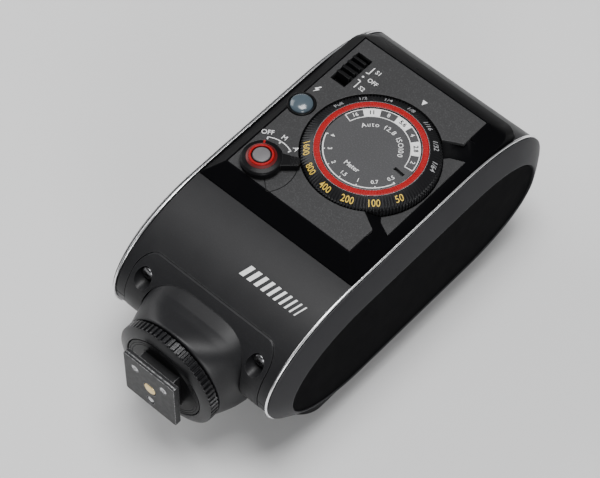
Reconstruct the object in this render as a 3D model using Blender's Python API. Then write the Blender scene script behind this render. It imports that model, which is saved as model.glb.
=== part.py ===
"""Retro hot-shoe camera flash, lying on its front cover.

The control panel faces +Z, the top end of the flash points along +Y and its
hot-shoe foot along -Y. Lengths below are in millimetres, and MM turns them
into metres when a mesh is made.
"""
import math

import bmesh
import bpy
from mathutils import Vector

MM = 0.001

# Body: an oval seen from the side, closed by a cheek on each side.
BODY_NEAR_Y = -49.8
BODY_FAR_Y = 65.2
BODY_MID_Z = 30.6
BODY_HALF_HEIGHT = 20.4
CAP_LENGTH = 35.0
NEAR_POWER = 2.0
FAR_POWER = 2.2
CAP_STEPS = 14
SHELL_HALF_WIDTH = 27.6
SHELL_INSET = 0.35
SHELL_WALL = 2.5
SEAM_GAP = 0.15
CHEEK_FLATTEN = 0.70

# Plinth and control panel.
PANEL_Z = 56.0
PANEL_THICKNESS = 1.2
PANEL_HALF_WIDTH = 22.0
PANEL_NEAR_Y = -10.0
PANEL_FAR_Y = 47.0
PLINTH_RIM = 0.4
PLINTH_FOOT_Z = 51.0
FIT_GAP = 0.15

# Exposure dial and its thumb scallop.
DIAL_X = 4.95
DIAL_Y = 18.3
DIAL_RADIUS = 19.5
DIAL_WELL_RADIUS = 19.8
DIAL_WELL_Z = 52.3
RED_RING_OUTER = 15.8
RED_RING_INNER = 14.0
DISC_RADIUS = 13.7
SCALLOP_Z = 53.2
SCALLOP_PLATE = 0.7
SCALLOP_OUTER_X = 25.0
SCALLOP_NEAR_X = 15.0
SCALLOP_FAR_X = 31.0
SCALLOP_FLOOR_EDGE = (-6.1, 1.12)
SCALLOP_PANEL_EDGE = (9.5, 0.556)
DIAL_TOP_Z = 57.7
DIAL_STEPS = 48
DIAL_WEB_Z = 53.6
DIAL_SHAFT_RADIUS = 3.0
DIAL_PIN_RADIUS = 1.2

# Other controls on the panel.
LEVER_X = -14.75
LEVER_Y = -4.3
LEVER_ARM_DEG = 33.0
LEVER_SHAFT_RADIUS = 1.9
BUTTON_X = -20.05
BUTTON_Y = 17.8
BUTTON_RADIUS = 3.3
BUTTON_ROD_RADIUS = 1.2
BEZEL_RADIUS = 4.0
SWITCH_X = -17.7
SWITCH_Y = 36.0
SWITCH_WIDTH = 5.1
SWITCH_LENGTH = 12.0
SWITCH_FRAME = 0.7
KNOB_LENGTH = 7.8
KNOB_RIBS = 4
SHAFT_GAP = 0.3
SHAFT_FOOT_Z = 47.0
BOARD_TOP_Z = 44.0
BOARD_THICKNESS = 1.6

# Shoe end.
NECK_Z = 28.0
NECK_RADIUS = 16.9
NECK_FRONT_Y = -55.6
NECK_REAR_Y = -32.0
NECK_HALF_WIDTH = 18.3
NECK_HALF_HEIGHT = 14.9
NECK_BORE = 9.6
NECK_STEPS = 28
NECK_POWER = 3.4
SADDLE_HALF_WIDTH = 24.5
SADDLE_TOP_Z = 44.7
SADDLE_BOTTOM_Z = 16.5
SADDLE_REAR_Y = -38.5
SADDLE_CORNER = 4.5
SADDLE_SCREW_X = 20.5
SADDLE_SCREW_Z = 39.5
SADDLE_RECESS_Y = -42.6
WHEEL_RADIUS = 16.8
FOOT_HALF_WIDTH = 9.3
FOOT_LOW_Z = 19.4
FOOT_HIGH_Z = 37.6
FOOT_FACE_Y = -65.2
FOOT_THICKNESS = 2.0
STEM_HALF_WIDTH = 6.2
STEM_HALF_HEIGHT = 7.0
CONTACT_Z = 28.4
CONTACT_RADIUS = 2.0
LOCK_PIN_Z = 22.8
FOOT_SCREW_X = 5.2
FOOT_SCREW_Z = 33.4

# Lamp and folding fan on the front.
LAMP_Y = 35.2
HUB_RADIUS = 11.2
FAN_LEAVES = 7
LEAF_RADIUS = 54.0
LEAF_HALF_DEG = 23.5
LEAF_THICKNESS = 0.5
LEAF_PITCH = 0.9
LEAF_FIRST_Z = 3.5
EYELET_INNER = 11.6
EYELET_OUTER = 15.4
TAB_REACH = 4.5
TAB_START_DEG = -75.0
TAB_END_DEG = -68.0
COVER_THICKNESS = 3.0
COVER_HALF_WIDTH = 27.0
COVER_NEAR_Y = -34.0
COVER_FAR_Y = 27.0
COVER_LAMP_RADIUS = 16.2
COVER_SCREW_X = 9.0
COVER_SCREW_Y = -28.2
COVER_HOLE_RADIUS = 1.35
COVER_NEAR_CORNER = 8.0
COVER_FAR_CORNER = 4.0

# Reach of a cutter that passes right through the body.
BEYOND = 90.0

# Colours are linear red, green, blue.
BLACK = (0.012, 0.012, 0.013)
CHARCOAL = (0.045, 0.045, 0.048)
GREY = (0.22, 0.22, 0.23)
SILVER = (0.75, 0.75, 0.76)
RED = (0.55, 0.03, 0.03)
GREEN = (0.02, 0.12, 0.05)
COPPER = (0.55, 0.22, 0.09)
BLUE = (0.03, 0.08, 0.25)
GLASS = (0.62, 0.7, 0.75)
GOLD = (0.7, 0.5, 0.2)


def clear_scene():
    """Remove every object the file starts with."""
    for item in list(bpy.data.objects):
        bpy.data.objects.remove(item, do_unlink=True)


def make_object(name, mesh_data):
    """Link a mesh to the scene under the given name."""
    bmesh.ops.recalc_face_normals(mesh_data, faces=mesh_data.faces)
    mesh = bpy.data.meshes.new(name)
    mesh_data.to_mesh(mesh)
    mesh_data.free()
    item = bpy.data.objects.new(name, mesh)
    bpy.context.scene.collection.objects.link(item)
    return item


def finish(item, colour, roughness, metallic=0.0, pivot=None):
    """Give a part its material, and put its origin on its joint's axis."""
    material = bpy.data.materials.new(item.name)
    material.use_nodes = True
    shader = material.node_tree.nodes["Principled BSDF"]
    shader.inputs["Base Color"].default_value = (*colour, 1.0)
    shader.inputs["Roughness"].default_value = roughness
    shader.inputs["Metallic"].default_value = metallic
    item.data.materials.clear()
    item.data.materials.append(material)
    if pivot is not None:
        offset = Vector(pivot) * MM
        for vertex in item.data.vertices:
            vertex.co -= offset
        item.location = offset
    return item


def combine(target, cutter, operation="DIFFERENCE"):
    """Apply one exact Boolean and discard the cutter."""
    modifier = target.modifiers.new("boolean", "BOOLEAN")
    modifier.operation = operation
    modifier.object = cutter
    bpy.context.view_layer.update()
    graph = bpy.context.evaluated_depsgraph_get()
    result = bpy.data.meshes.new_from_object(target.evaluated_get(graph))
    target.modifiers.clear()
    target.data = result
    bpy.data.objects.remove(cutter, do_unlink=True)
    return target


def loft(name, loops, closed=False):
    """Skin equal loops of points; closed joins the last loop to the first."""
    mesh_data = bmesh.new()
    rows = [[mesh_data.verts.new(Vector(point) * MM) for point in loop] for loop in loops]
    pairs = list(zip(rows, rows[1:]))
    if closed:
        pairs.append((rows[-1], rows[0]))
    count = len(rows[0])
    for low, high in pairs:
        for index in range(count):
            following = (index + 1) % count
            mesh_data.faces.new((low[index], low[following], high[following], high[index]))
    if not closed:
        mesh_data.faces.new(rows[0])
        mesh_data.faces.new(rows[-1])
    return make_object(name, mesh_data)


def place(axis, point, height):
    """Put a flat outline point on the plane at height along the axis."""
    first, second = point
    if axis == "x":
        return (height, first, second)
    if axis == "y":
        return (first, height, second)
    return (first, second, height)


def prism(name, outline, axis, low, high):
    """Extrude a flat outline along x (y, z), y (x, z) or z (x, y)."""
    return loft(name, [[place(axis, point, height) for point in outline] for height in (low, high)])


def block(name, low, high):
    """Make a box from its lowest and highest corners."""
    outline = [(low[0], low[1]), (high[0], low[1]), (high[0], high[1]), (low[0], high[1])]
    return prism(name, outline, "z", low[2], high[2])


def circle(centre, radius, steps):
    """Make a closed flat outline round a centre."""
    return arc(centre, radius, 0.0, 360.0 * (steps - 1) / steps, steps)


def arc(centre, radius, start_deg, end_deg, count):
    """List count points of an arc, both ends included."""
    points = []
    for index in range(count):
        angle = math.radians(start_deg + (end_deg - start_deg) * index / (count - 1))
        points.append((centre[0] + radius * math.cos(angle), centre[1] + radius * math.sin(angle)))
    return points


def cylinder(name, centre, radius, axis, low, high, steps=32):
    """Make a round bar along an axis."""
    return prism(name, circle(centre, radius, steps), axis, low, high)


def turned(name, profile, centre, axis, steps=40):
    """Turn a closed profile of (radius, height) points about an axis."""
    mesh_data = bmesh.new()
    rows = []
    for radius, height in profile:
        if radius == 0.0:
            rows.append([mesh_data.verts.new(Vector(place(axis, centre, height)) * MM)])
            continue
        ring = circle(centre, radius, steps)
        rows.append([mesh_data.verts.new(Vector(place(axis, point, height)) * MM) for point in ring])
    for low, high in zip(rows, rows[1:] + rows[:1]):
        if len(low) == 1 and len(high) == 1:
            continue
        for index in range(steps):
            following = (index + 1) % steps
            if len(low) == 1:
                mesh_data.faces.new((low[0], high[following], high[index]))
            elif len(high) == 1:
                mesh_data.faces.new((low[index], low[following], high[0]))
            else:
                mesh_data.faces.new((low[index], low[following], high[following], high[index]))
    return make_object(name, mesh_data)


def hull(name, points):
    """Make the smallest convex solid that holds the points."""
    mesh_data = bmesh.new()
    for point in points:
        mesh_data.verts.new(Vector(point) * MM)
    result = bmesh.ops.convex_hull(mesh_data, input=mesh_data.verts)
    loose = [item for item in result["geom_interior"] if isinstance(item, bmesh.types.BMVert)]
    bmesh.ops.delete(mesh_data, geom=loose, context="VERTS")
    return make_object(name, mesh_data)


def rounded_rectangle(low, high, radius, corner_steps=4):
    """List a rectangle's outline with round corners."""
    centres = (
        (high[0] - radius, high[1] - radius, 0.0),
        (low[0] + radius, high[1] - radius, 90.0),
        (low[0] + radius, low[1] + radius, 180.0),
        (high[0] - radius, low[1] + radius, 270.0),
    )
    outline = []
    for x, y, start in centres:
        outline += arc((x, y), radius, start, start + 90.0, corner_steps)
    return outline


def power_curve(value, power):
    """Raise the size of a value to a power and keep its sign."""
    return math.copysign(abs(value) ** (2.0 / power), value)


def oval(inset, flatten=1.0):
    """List the body's side outline (y, z), moved inwards by inset.

    With flatten below 1 the lower edge moves in less than the upper edge.
    """
    length = CAP_LENGTH - inset
    height = BODY_HALF_HEIGHT - inset * flatten
    middle_z = BODY_MID_Z - inset * (1.0 - flatten)
    caps = (
        (BODY_FAR_Y - CAP_LENGTH, -90.0, FAR_POWER),
        (BODY_NEAR_Y + CAP_LENGTH, 90.0, NEAR_POWER),
    )
    outline = []
    for centre_y, start, power in caps:
        for step in range(CAP_STEPS + 1):
            angle = math.radians(start + 180.0 * step / CAP_STEPS)
            along = length * power_curve(math.cos(angle), power)
            across = height * power_curve(math.sin(angle), power)
            outline.append((centre_y + along, middle_z + across))
    return outline


def oval_loops(stations, side, flatten=1.0):
    """List oval loops for (x, inset) stations on one side of the body."""
    return [[(side * x, y, z) for y, z in oval(inset, flatten)] for x, inset in stations]


def neck_loop(y, half_width, half_height, power, grow=0.0):
    """List one cross-section of the neck at y."""
    loop = []
    for step in range(NECK_STEPS):
        angle = math.tau * step / NECK_STEPS
        x = (half_width + grow) * power_curve(math.cos(angle), power)
        z = (half_height + grow) * power_curve(math.sin(angle), power)
        loop.append((x, y, NECK_Z + z))
    return loop


def neck_opening():
    """Make a cutter for the hole that the neck passes through."""
    size = (NECK_HALF_WIDTH, NECK_HALF_HEIGHT, NECK_POWER, SHAFT_GAP)
    sections = [neck_loop(y, *size) for y in (-62.0, -30.0)]
    return loft("neck_opening", sections)


def saddle_outline(grow):
    """List the saddle's outline (x, z), grown on every side."""
    low = (-SADDLE_HALF_WIDTH - grow, SADDLE_BOTTOM_Z - grow)
    high = (SADDLE_HALF_WIDTH + grow, SADDLE_TOP_Z + grow)
    return rounded_rectangle(low, high, SADDLE_CORNER + grow)


def scallop_line(x, edge_offset, slope):
    """Give a scallop edge's distance from the dial's centre line at x."""
    return edge_offset + slope * (x - DIAL_X)


def panel_outline(grow):
    """List the panel's outline (x, y), with its two scallop edges."""
    near_x = SCALLOP_NEAR_X + 1.0
    far_x = PANEL_HALF_WIDTH + grow
    near = scallop_line(near_x, *SCALLOP_PANEL_EDGE) - grow
    far = scallop_line(far_x, *SCALLOP_PANEL_EDGE) - grow
    left = -PANEL_HALF_WIDTH - grow
    low = PANEL_NEAR_Y - grow
    high = PANEL_FAR_Y + grow
    return [
        (left, low),
        (far_x, low),
        (far_x, DIAL_Y - far),
        (near_x, DIAL_Y - near),
        (near_x, DIAL_Y + near),
        (far_x, DIAL_Y + far),
        (far_x, high),
        (left, high),
    ]


def scallop_cutter():
    """Make a cutter for the thumb scallop with its two sloping side walls."""
    floor_z = SCALLOP_Z - SCALLOP_PLATE - 0.1
    top_z = PANEL_Z + 1.5
    reach = (top_z - SCALLOP_Z) / (PANEL_Z - SCALLOP_Z)
    points = []
    for x in (SCALLOP_NEAR_X, SCALLOP_FAR_X):
        floor = scallop_line(x, *SCALLOP_FLOOR_EDGE)
        panel = scallop_line(x, *SCALLOP_PANEL_EDGE)
        top = floor + (panel - floor) * reach
        for side in (-1.0, 1.0):
            points.append((x, DIAL_Y + side * floor, floor_z))
            points.append((x, DIAL_Y + side * floor, SCALLOP_Z))
            points.append((x, DIAL_Y + side * top, top_z))
    return hull("scallop_cutter", points)


def plinth():
    """Make the raised plinth with its sloping sides."""
    side = SHELL_HALF_WIDTH
    rim_x = PANEL_HALF_WIDTH + PLINTH_RIM
    near_rim = PANEL_NEAR_Y - PLINTH_RIM
    far_rim = PANEL_FAR_Y + PLINTH_RIM
    drop = PANEL_Z - PLINTH_FOOT_Z
    points = []
    slope_end = (far_rim + 8.8, PANEL_Z - 8.8)
    step_end = (far_rim + 10.2, PANEL_Z - 12.4)
    inside_z = BODY_MID_Z + 7.4
    for sign in (-1.0, 1.0):
        points.append((sign * rim_x, near_rim, PANEL_Z))
        points.append((sign * rim_x, far_rim, PANEL_Z))
        points.append((sign * side, near_rim - drop, PLINTH_FOOT_Z))
        points.append((sign * side, far_rim + drop, PLINTH_FOOT_Z))
        points.append((sign * side, *slope_end))
        points.append((sign * side, *step_end))
        points.append((sign * side, step_end[0], inside_z))
        points.append((sign * side, near_rim - drop, inside_z))
    return hull("plinth", points)


def half_space(upper):
    """Make a box over everything on one side of the body's middle plane."""
    if upper:
        return block("half", (-BEYOND, -BEYOND, BODY_MID_Z + SEAM_GAP), (BEYOND, BEYOND, BEYOND))
    return block("half", (-BEYOND, -BEYOND, -BEYOND), (BEYOND, BEYOND, BODY_MID_Z - SEAM_GAP))


def body_band(name):
    """Make the solid oval band between the two cheeks."""
    half = SHELL_HALF_WIDTH
    return prism(name, oval(SHELL_INSET), "x", -half, half)


def hollow(item):
    """Cut the body's inner space and its openings at the shoe end."""
    combine(item, prism("inner", oval(SHELL_INSET + SHELL_WALL), "x", -BEYOND, BEYOND))
    combine(item, prism("saddle_gap", saddle_outline(0.25), "y", -62.0, -30.0))
    combine(item, neck_opening())
    return item


def rear_shell():
    """Back half of the body with the plinth that carries the controls."""
    item = body_band("rear_shell")
    combine(item, plinth(), "UNION")
    hollow(item)
    combine(item, half_space(True), "INTERSECT")
    pocket_z = PANEL_Z - PANEL_THICKNESS - 0.1
    above = PANEL_Z + 3.0
    below = PLINTH_FOOT_Z - 8.0
    combine(item, prism("pocket", panel_outline(FIT_GAP), "z", pocket_z, above))
    combine(item, scallop_cutter())
    dial = (DIAL_X, DIAL_Y)
    lever = (LEVER_X, LEVER_Y)
    button = (BUTTON_X, BUTTON_Y)
    shaft_hole = DIAL_SHAFT_RADIUS + SHAFT_GAP
    lever_hole = LEVER_SHAFT_RADIUS + SHAFT_GAP
    rod_hole = BUTTON_ROD_RADIUS + SHAFT_GAP
    combine(item, cylinder("well", dial, DIAL_WELL_RADIUS, "z", DIAL_WELL_Z, above, DIAL_STEPS))
    combine(item, cylinder("shaft_hole", dial, shaft_hole, "z", below, above))
    combine(item, cylinder("lever_hole", lever, lever_hole, "z", below, above))
    combine(item, cylinder("button_bore", button, BEZEL_RADIUS + FIT_GAP, "z", 52.8, above))
    combine(item, cylinder("rod_hole", button, rod_hole, "z", below, above))
    pocket_x = SWITCH_WIDTH / 2 + SWITCH_FRAME + SHAFT_GAP
    pocket_y = SWITCH_LENGTH / 2 + SWITCH_FRAME + SHAFT_GAP
    low = (SWITCH_X - pocket_x, SWITCH_Y - pocket_y, 52.1)
    high = (SWITCH_X + pocket_x, SWITCH_Y + pocket_y, above)
    combine(item, block("switch_pocket", low, high))
    low = (SWITCH_X - 1.4, SWITCH_Y - 4.2, below)
    high = (SWITCH_X + 1.4, SWITCH_Y + 4.2, above)
    combine(item, block("switch_slot", low, high))
    return finish(item, BLACK, 0.35)


def front_shell():
    """Front half of the body, behind the fan."""
    item = hollow(body_band("front_shell"))
    combine(item, half_space(False), "INTERSECT")
    combine(item, cylinder("hub_hole", (0.0, LAMP_Y), HUB_RADIUS + 0.3, "z", 0.0, 20.0, 32))
    for side in (-1.0, 1.0):
        centre = (side * COVER_SCREW_X, COVER_SCREW_Y)
        combine(item, cylinder("cover_screw_hole", centre, COVER_HOLE_RADIUS, "z", 5.0, 17.5, 12))
    return finish(item, BLACK, 0.5)


def cheeks():
    """Bulged side caps, their bright edge bands and their oval inlays."""
    cheek_stations = (
        (29.7, 5.6),
        (28.65, 3.4),
        (28.65, 0.2),
        (28.9, 0.3),
        (30.3, 2.6),
        (31.6, 5.1),
        (31.95, 5.85),
        (32.05, 6.2),
        (31.9, 6.5),
        (31.2, 6.6),
    )
    trim_stations = (
        (27.75, 2.4),
        (27.75, 0.0),
        (27.95, -0.3),
        (28.3, -0.3),
        (28.5, -0.05),
        (28.5, 2.4),
    )
    for name, side in (("left", -1.0), ("right", 1.0)):
        cheek = loft(name + "_cheek", oval_loops(cheek_stations, side, CHEEK_FLATTEN))
        finish(cheek, CHARCOAL, 0.45)
        trim = loft(name + "_trim", oval_loops(trim_stations, side), closed=True)
        finish(trim, SILVER, 0.25, 1.0)
        inlay = loft(name + "_side_inlay", oval_loops(((31.3, 6.95), (31.7, 6.95)), side, CHEEK_FLATTEN))
        finish(inlay, BLACK, 0.4)


def control_panel():
    """Textured plate with its openings for the controls."""
    item = prism("control_panel", panel_outline(0.0), "z", PANEL_Z - PANEL_THICKNESS, PANEL_Z)
    low = PANEL_Z - 5.0
    high = PANEL_Z + 5.0
    dial_centre = (DIAL_X, DIAL_Y)
    lever_hole = LEVER_SHAFT_RADIUS + SHAFT_GAP
    button_hole = BEZEL_RADIUS + FIT_GAP
    combine(item, cylinder("dial_hole", dial_centre, DIAL_WELL_RADIUS, "z", low, high, DIAL_STEPS))
    combine(item, cylinder("lever_hole", (LEVER_X, LEVER_Y), lever_hole, "z", low, high))
    combine(item, cylinder("button_hole", (BUTTON_X, BUTTON_Y), button_hole, "z", low, high))
    half_width = SWITCH_WIDTH / 2
    half_length = SWITCH_LENGTH / 2
    corner_low = (SWITCH_X - half_width, SWITCH_Y - half_length, low)
    corner_high = (SWITCH_X + half_width, SWITCH_Y + half_length, high)
    combine(item, block("switch_hole", corner_low, corner_high))
    return finish(item, CHARCOAL, 0.6)


def scallop_plate():
    """Crescent plate on the floor of the thumb scallop."""
    near_x = SCALLOP_NEAR_X
    far_x = SCALLOP_OUTER_X
    near = scallop_line(near_x, *SCALLOP_FLOOR_EDGE) - FIT_GAP
    far = scallop_line(far_x, *SCALLOP_FLOOR_EDGE) - FIT_GAP
    outline = [
        (near_x, DIAL_Y - near),
        (far_x, DIAL_Y - far),
        (far_x, DIAL_Y + far),
        (near_x, DIAL_Y + near),
    ]
    item = prism("scallop_plate", outline, "z", SCALLOP_Z - SCALLOP_PLATE, SCALLOP_Z)
    dial_centre = (DIAL_X, DIAL_Y)
    combine(item, cylinder("dial_hole", dial_centre, DIAL_WELL_RADIUS, "z", 0.0, BEYOND, DIAL_STEPS))
    return finish(item, CHARCOAL, 0.6)


def dial():
    """Turning dial ring, its red ring, and the fixed calculator disc."""
    centre = (DIAL_X, DIAL_Y)
    pivot = (DIAL_X, DIAL_Y, PANEL_Z)
    floor_z = DIAL_WELL_Z + SHAFT_GAP
    bore = DIAL_PIN_RADIUS + SHAFT_GAP
    ring_profile = (
        (bore, SHAFT_FOOT_Z),
        (DIAL_SHAFT_RADIUS, SHAFT_FOOT_Z),
        (DIAL_SHAFT_RADIUS, floor_z),
        (DIAL_RADIUS, floor_z),
        (DIAL_RADIUS, PANEL_Z - 0.4),
        (DIAL_RADIUS - 0.4, PANEL_Z),
        (RED_RING_OUTER + 0.2, DIAL_TOP_Z),
        (RED_RING_OUTER + 0.2, DIAL_WEB_Z),
        (bore, DIAL_WEB_Z),
    )
    ring = turned("dial_ring", ring_profile, centre, "z", DIAL_STEPS)
    finish(ring, BLACK, 0.4, pivot=pivot)
    red_profile = (
        (RED_RING_INNER, DIAL_WEB_Z + 0.2),
        (RED_RING_OUTER, DIAL_WEB_Z + 0.2),
        (RED_RING_OUTER, DIAL_TOP_Z),
        (RED_RING_OUTER - 0.3, DIAL_TOP_Z + 0.2),
        (RED_RING_INNER + 0.3, DIAL_TOP_Z + 0.2),
        (RED_RING_INNER, DIAL_TOP_Z),
    )
    red = turned("dial_red_ring", red_profile, centre, "z", DIAL_STEPS)
    finish(red, RED, 0.35, 0.3, pivot=pivot)
    disc_profile = (
        (0.0, SHAFT_FOOT_Z - 0.5),
        (DIAL_PIN_RADIUS, SHAFT_FOOT_Z - 0.5),
        (DIAL_PIN_RADIUS, DIAL_WEB_Z + 0.3),
        (DISC_RADIUS, DIAL_WEB_Z + 0.3),
        (DISC_RADIUS, DIAL_TOP_Z - 0.1),
        (0.0, DIAL_TOP_Z - 0.1),
    )
    disc = turned("dial_disc", disc_profile, centre, "z", 40)
    finish(disc, CHARCOAL, 0.5)


def mode_lever():
    """Hub with its arm, red ring and grey cap."""
    centre = (LEVER_X, LEVER_Y)
    pivot = (LEVER_X, LEVER_Y, PANEL_Z)
    base_z = PANEL_Z + 0.25
    hub_profile = (
        (0.0, SHAFT_FOOT_Z),
        (LEVER_SHAFT_RADIUS, SHAFT_FOOT_Z),
        (LEVER_SHAFT_RADIUS, base_z),
        (5.9, base_z),
        (5.9, base_z + 2.1),
        (5.5, base_z + 2.4),
        (4.2, base_z + 2.75),
        (0.0, base_z + 2.75),
    )
    lever = turned("mode_lever", hub_profile, centre, "z", 28)
    angle = math.radians(LEVER_ARM_DEG)
    along = Vector((math.cos(angle), math.sin(angle)))
    across = Vector((-along.y, along.x))
    outline = []
    for reach, half_width in ((3.0, 2.2), (9.6, 1.5), (10.6, 1.5)):
        outline.append(Vector(centre) + along * reach - across * half_width)
    for reach, half_width in ((10.6, 1.5), (9.6, 1.5), (3.0, 2.2)):
        outline.append(Vector(centre) + along * reach + across * half_width)
    combine(lever, prism("arm", outline, "z", base_z, base_z + 2.3), "UNION")
    finish(lever, BLACK, 0.4, pivot=pivot)
    top_z = base_z + 2.85
    ring_profile = ((2.75, top_z), (3.9, top_z), (3.65, top_z + 0.7), (2.85, top_z + 0.7))
    finish(turned("lever_red_ring", ring_profile, centre, "z", 24), RED, 0.35, 0.3, pivot=pivot)
    cap_profile = ((0.0, top_z), (2.5, top_z), (2.5, top_z + 0.6), (2.3, top_z + 0.8), (0.0, top_z + 0.8))
    finish(turned("lever_cap", cap_profile, centre, "z", 24), GREY, 0.5, pivot=pivot)


def test_button():
    """Translucent dome button and the bezel it sinks into."""
    centre = (BUTTON_X, BUTTON_Y)
    head_z = 53.9
    button_profile = (
        (0.0, SHAFT_FOOT_Z + 0.6),
        (BUTTON_ROD_RADIUS, SHAFT_FOOT_Z + 0.6),
        (BUTTON_ROD_RADIUS, head_z),
        (BUTTON_RADIUS, head_z),
        (BUTTON_RADIUS, PANEL_Z),
        (BUTTON_RADIUS - 0.4, PANEL_Z + 0.7),
        (BUTTON_RADIUS - 1.5, PANEL_Z + 1.15),
        (0.0, PANEL_Z + 1.3),
    )
    button = turned("test_button", button_profile, centre, "z", 24)
    finish(button, GLASS, 0.2, pivot=(BUTTON_X, BUTTON_Y, PANEL_Z))
    inner = BUTTON_RADIUS + 0.2
    bezel_profile = (
        (inner, 53.0),
        (BEZEL_RADIUS, 53.0),
        (BEZEL_RADIUS, PANEL_Z + 0.1),
        (BEZEL_RADIUS - 0.15, PANEL_Z + 0.3),
        (inner + 0.1, PANEL_Z + 0.3),
        (inner, PANEL_Z + 0.2),
    )
    finish(turned("button_bezel", bezel_profile, centre, "z", 28), BLACK, 0.3)


def slide_switch():
    """Ribbed switch knob in its well."""
    half_width = SWITCH_WIDTH / 2
    half_length = SWITCH_LENGTH / 2
    frame_width = half_width + SWITCH_FRAME
    frame_length = half_length + SWITCH_FRAME
    floor_z = 53.2
    knob_z = floor_z + SHAFT_GAP
    low = (SWITCH_X - frame_width, SWITCH_Y - frame_length, 52.3)
    high = (SWITCH_X + frame_width, SWITCH_Y + frame_length, 54.6)
    well = block("switch_well", low, high)
    low = (SWITCH_X - half_width, SWITCH_Y - half_length, floor_z)
    high = (SWITCH_X + half_width, SWITCH_Y + half_length, BEYOND)
    combine(well, block("well_space", low, high))
    low = (SWITCH_X - 1.3, SWITCH_Y - 4.1, 0.0)
    high = (SWITCH_X + 1.3, SWITCH_Y + 4.1, BEYOND)
    combine(well, block("well_slot", low, high))
    finish(well, BLACK, 0.5)
    knob_start = SWITCH_Y - KNOB_LENGTH / 2
    rib_width = KNOB_LENGTH / (2 * KNOB_RIBS - 1)
    valley_z = PANEL_Z - 0.4
    crest_z = PANEL_Z + 1.2
    outline = [(knob_start, knob_z), (knob_start + KNOB_LENGTH, knob_z)]
    for index in reversed(range(KNOB_RIBS)):
        start = knob_start + 2 * index * rib_width
        outline.append((start + rib_width, valley_z))
        outline.append((start + rib_width * 0.8, crest_z))
        outline.append((start + rib_width * 0.2, crest_z))
        outline.append((start, valley_z))
    knob = prism("switch_knob", outline, "x", SWITCH_X - 2.3, SWITCH_X + 2.3)
    low = (SWITCH_X - 1.0, SWITCH_Y - 1.8, SHAFT_FOOT_Z)
    high = (SWITCH_X + 1.0, SWITCH_Y + 1.8, knob_z + 0.5)
    combine(knob, block("neck", low, high), "UNION")
    finish(knob, BLACK, 0.5, pivot=(SWITCH_X, SWITCH_Y, PANEL_Z))


def inner_parts():
    """Circuit board, switches and power parts inside the body."""
    board_low = BOARD_TOP_Z - BOARD_THICKNESS
    finish(block("main_board", (-21.0, -24.0, board_low), (21.0, 43.0, BOARD_TOP_Z)), GREEN, 0.5)
    seat_z = BOARD_TOP_Z + 0.1
    encoder = cylinder("dial_encoder", (DIAL_X, DIAL_Y), 8.0, "z", seat_z, 46.2)
    finish(encoder, GREY, 0.4, 0.6)
    low = (LEVER_X - 4.0, LEVER_Y - 4.0, seat_z)
    high = (LEVER_X + 4.0, LEVER_Y + 4.0, 46.7)
    finish(block("mode_switch", low, high), BLACK, 0.5)
    low = (BUTTON_X - 0.9, BUTTON_Y - 3.0, seat_z)
    high = (BUTTON_X + 4.0, BUTTON_Y + 3.0, 46.4)
    finish(block("test_switch", low, high), BLACK, 0.5)
    low = (SWITCH_X - 3.0, SWITCH_Y - 5.0, seat_z)
    high = (SWITCH_X + 3.0, SWITCH_Y + 5.0, 46.7)
    finish(block("slide_contact", low, high), GREY, 0.4, 0.6)
    finish(cylinder("battery_cell", (-14.0, 28.5), 9.1, "y", -28.0, 37.0, 24), BLUE, 0.4)
    finish(cylinder("main_capacitor", (13.0, 26.0), 8.5, "y", -26.0, 10.0, 24), BLACK, 0.3)
    finish(block("transformer", (6.0, 14.0, 18.0), (21.0, 28.0, 34.0)), COPPER, 0.5)
    finish(block("trigger_coil", (6.0, 32.0, 18.0), (14.0, 42.0, 28.0)), COPPER, 0.5)


def shoe_saddle():
    """Separate piece across the nose, with its two recessed screws."""
    item = prism("shoe_saddle", saddle_outline(0.0), "y", -62.0, SADDLE_REAR_Y)
    combine(item, prism("nose", oval(SHELL_INSET - 0.1), "x", -BEYOND, BEYOND), "INTERSECT")
    combine(item, neck_opening())
    for side in (-1.0, 1.0):
        centre = (side * SADDLE_SCREW_X, SADDLE_SCREW_Z)
        combine(item, cylinder("recess", centre, 2.7, "y", -BEYOND, SADDLE_RECESS_Y, 24))
        combine(item, cylinder("screw_hole", centre, 1.25, "y", -BEYOND, 0.0, 16))
    finish(item, BLACK, 0.45)
    head_y = SADDLE_RECESS_Y - 1.6
    seat_y = SADDLE_RECESS_Y - 0.1
    tip_y = SADDLE_REAR_Y + 1.0
    screw_profile = (
        (0.0, head_y),
        (2.0, head_y),
        (2.3, head_y + 0.4),
        (2.3, seat_y),
        (1.1, seat_y),
        (1.1, tip_y),
        (0.0, tip_y),
    )
    for name, side in (("saddle_screw_left", -1.0), ("saddle_screw_right", 1.0)):
        centre = (side * SADDLE_SCREW_X, SADDLE_SCREW_Z)
        finish(turned(name, screw_profile, centre, "y", 16), CHARCOAL, 0.3, 1.0)


def neck_barrel():
    """Thick tube that blends from round at the wheel to square at the body."""
    sections = (
        (NECK_FRONT_Y, NECK_RADIUS - 0.4, NECK_RADIUS - 0.4, 2.0),
        (NECK_FRONT_Y + 0.4, NECK_RADIUS, NECK_RADIUS, 2.05),
        (-52.0, 17.4, 16.4, 2.5),
        (-48.0, 18.0, 15.4, 3.0),
        (-44.0, NECK_HALF_WIDTH, NECK_HALF_HEIGHT, NECK_POWER),
        (NECK_REAR_Y, NECK_HALF_WIDTH, NECK_HALF_HEIGHT, NECK_POWER),
    )
    loops = [neck_loop(*section) for section in sections]
    loops.append(neck_loop(NECK_REAR_Y, NECK_BORE, NECK_BORE, 2.0))
    loops.append(neck_loop(NECK_FRONT_Y, NECK_BORE, NECK_BORE, 2.0))
    item = loft("neck_barrel", loops, closed=True)
    return finish(item, BLACK, 0.5)


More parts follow.
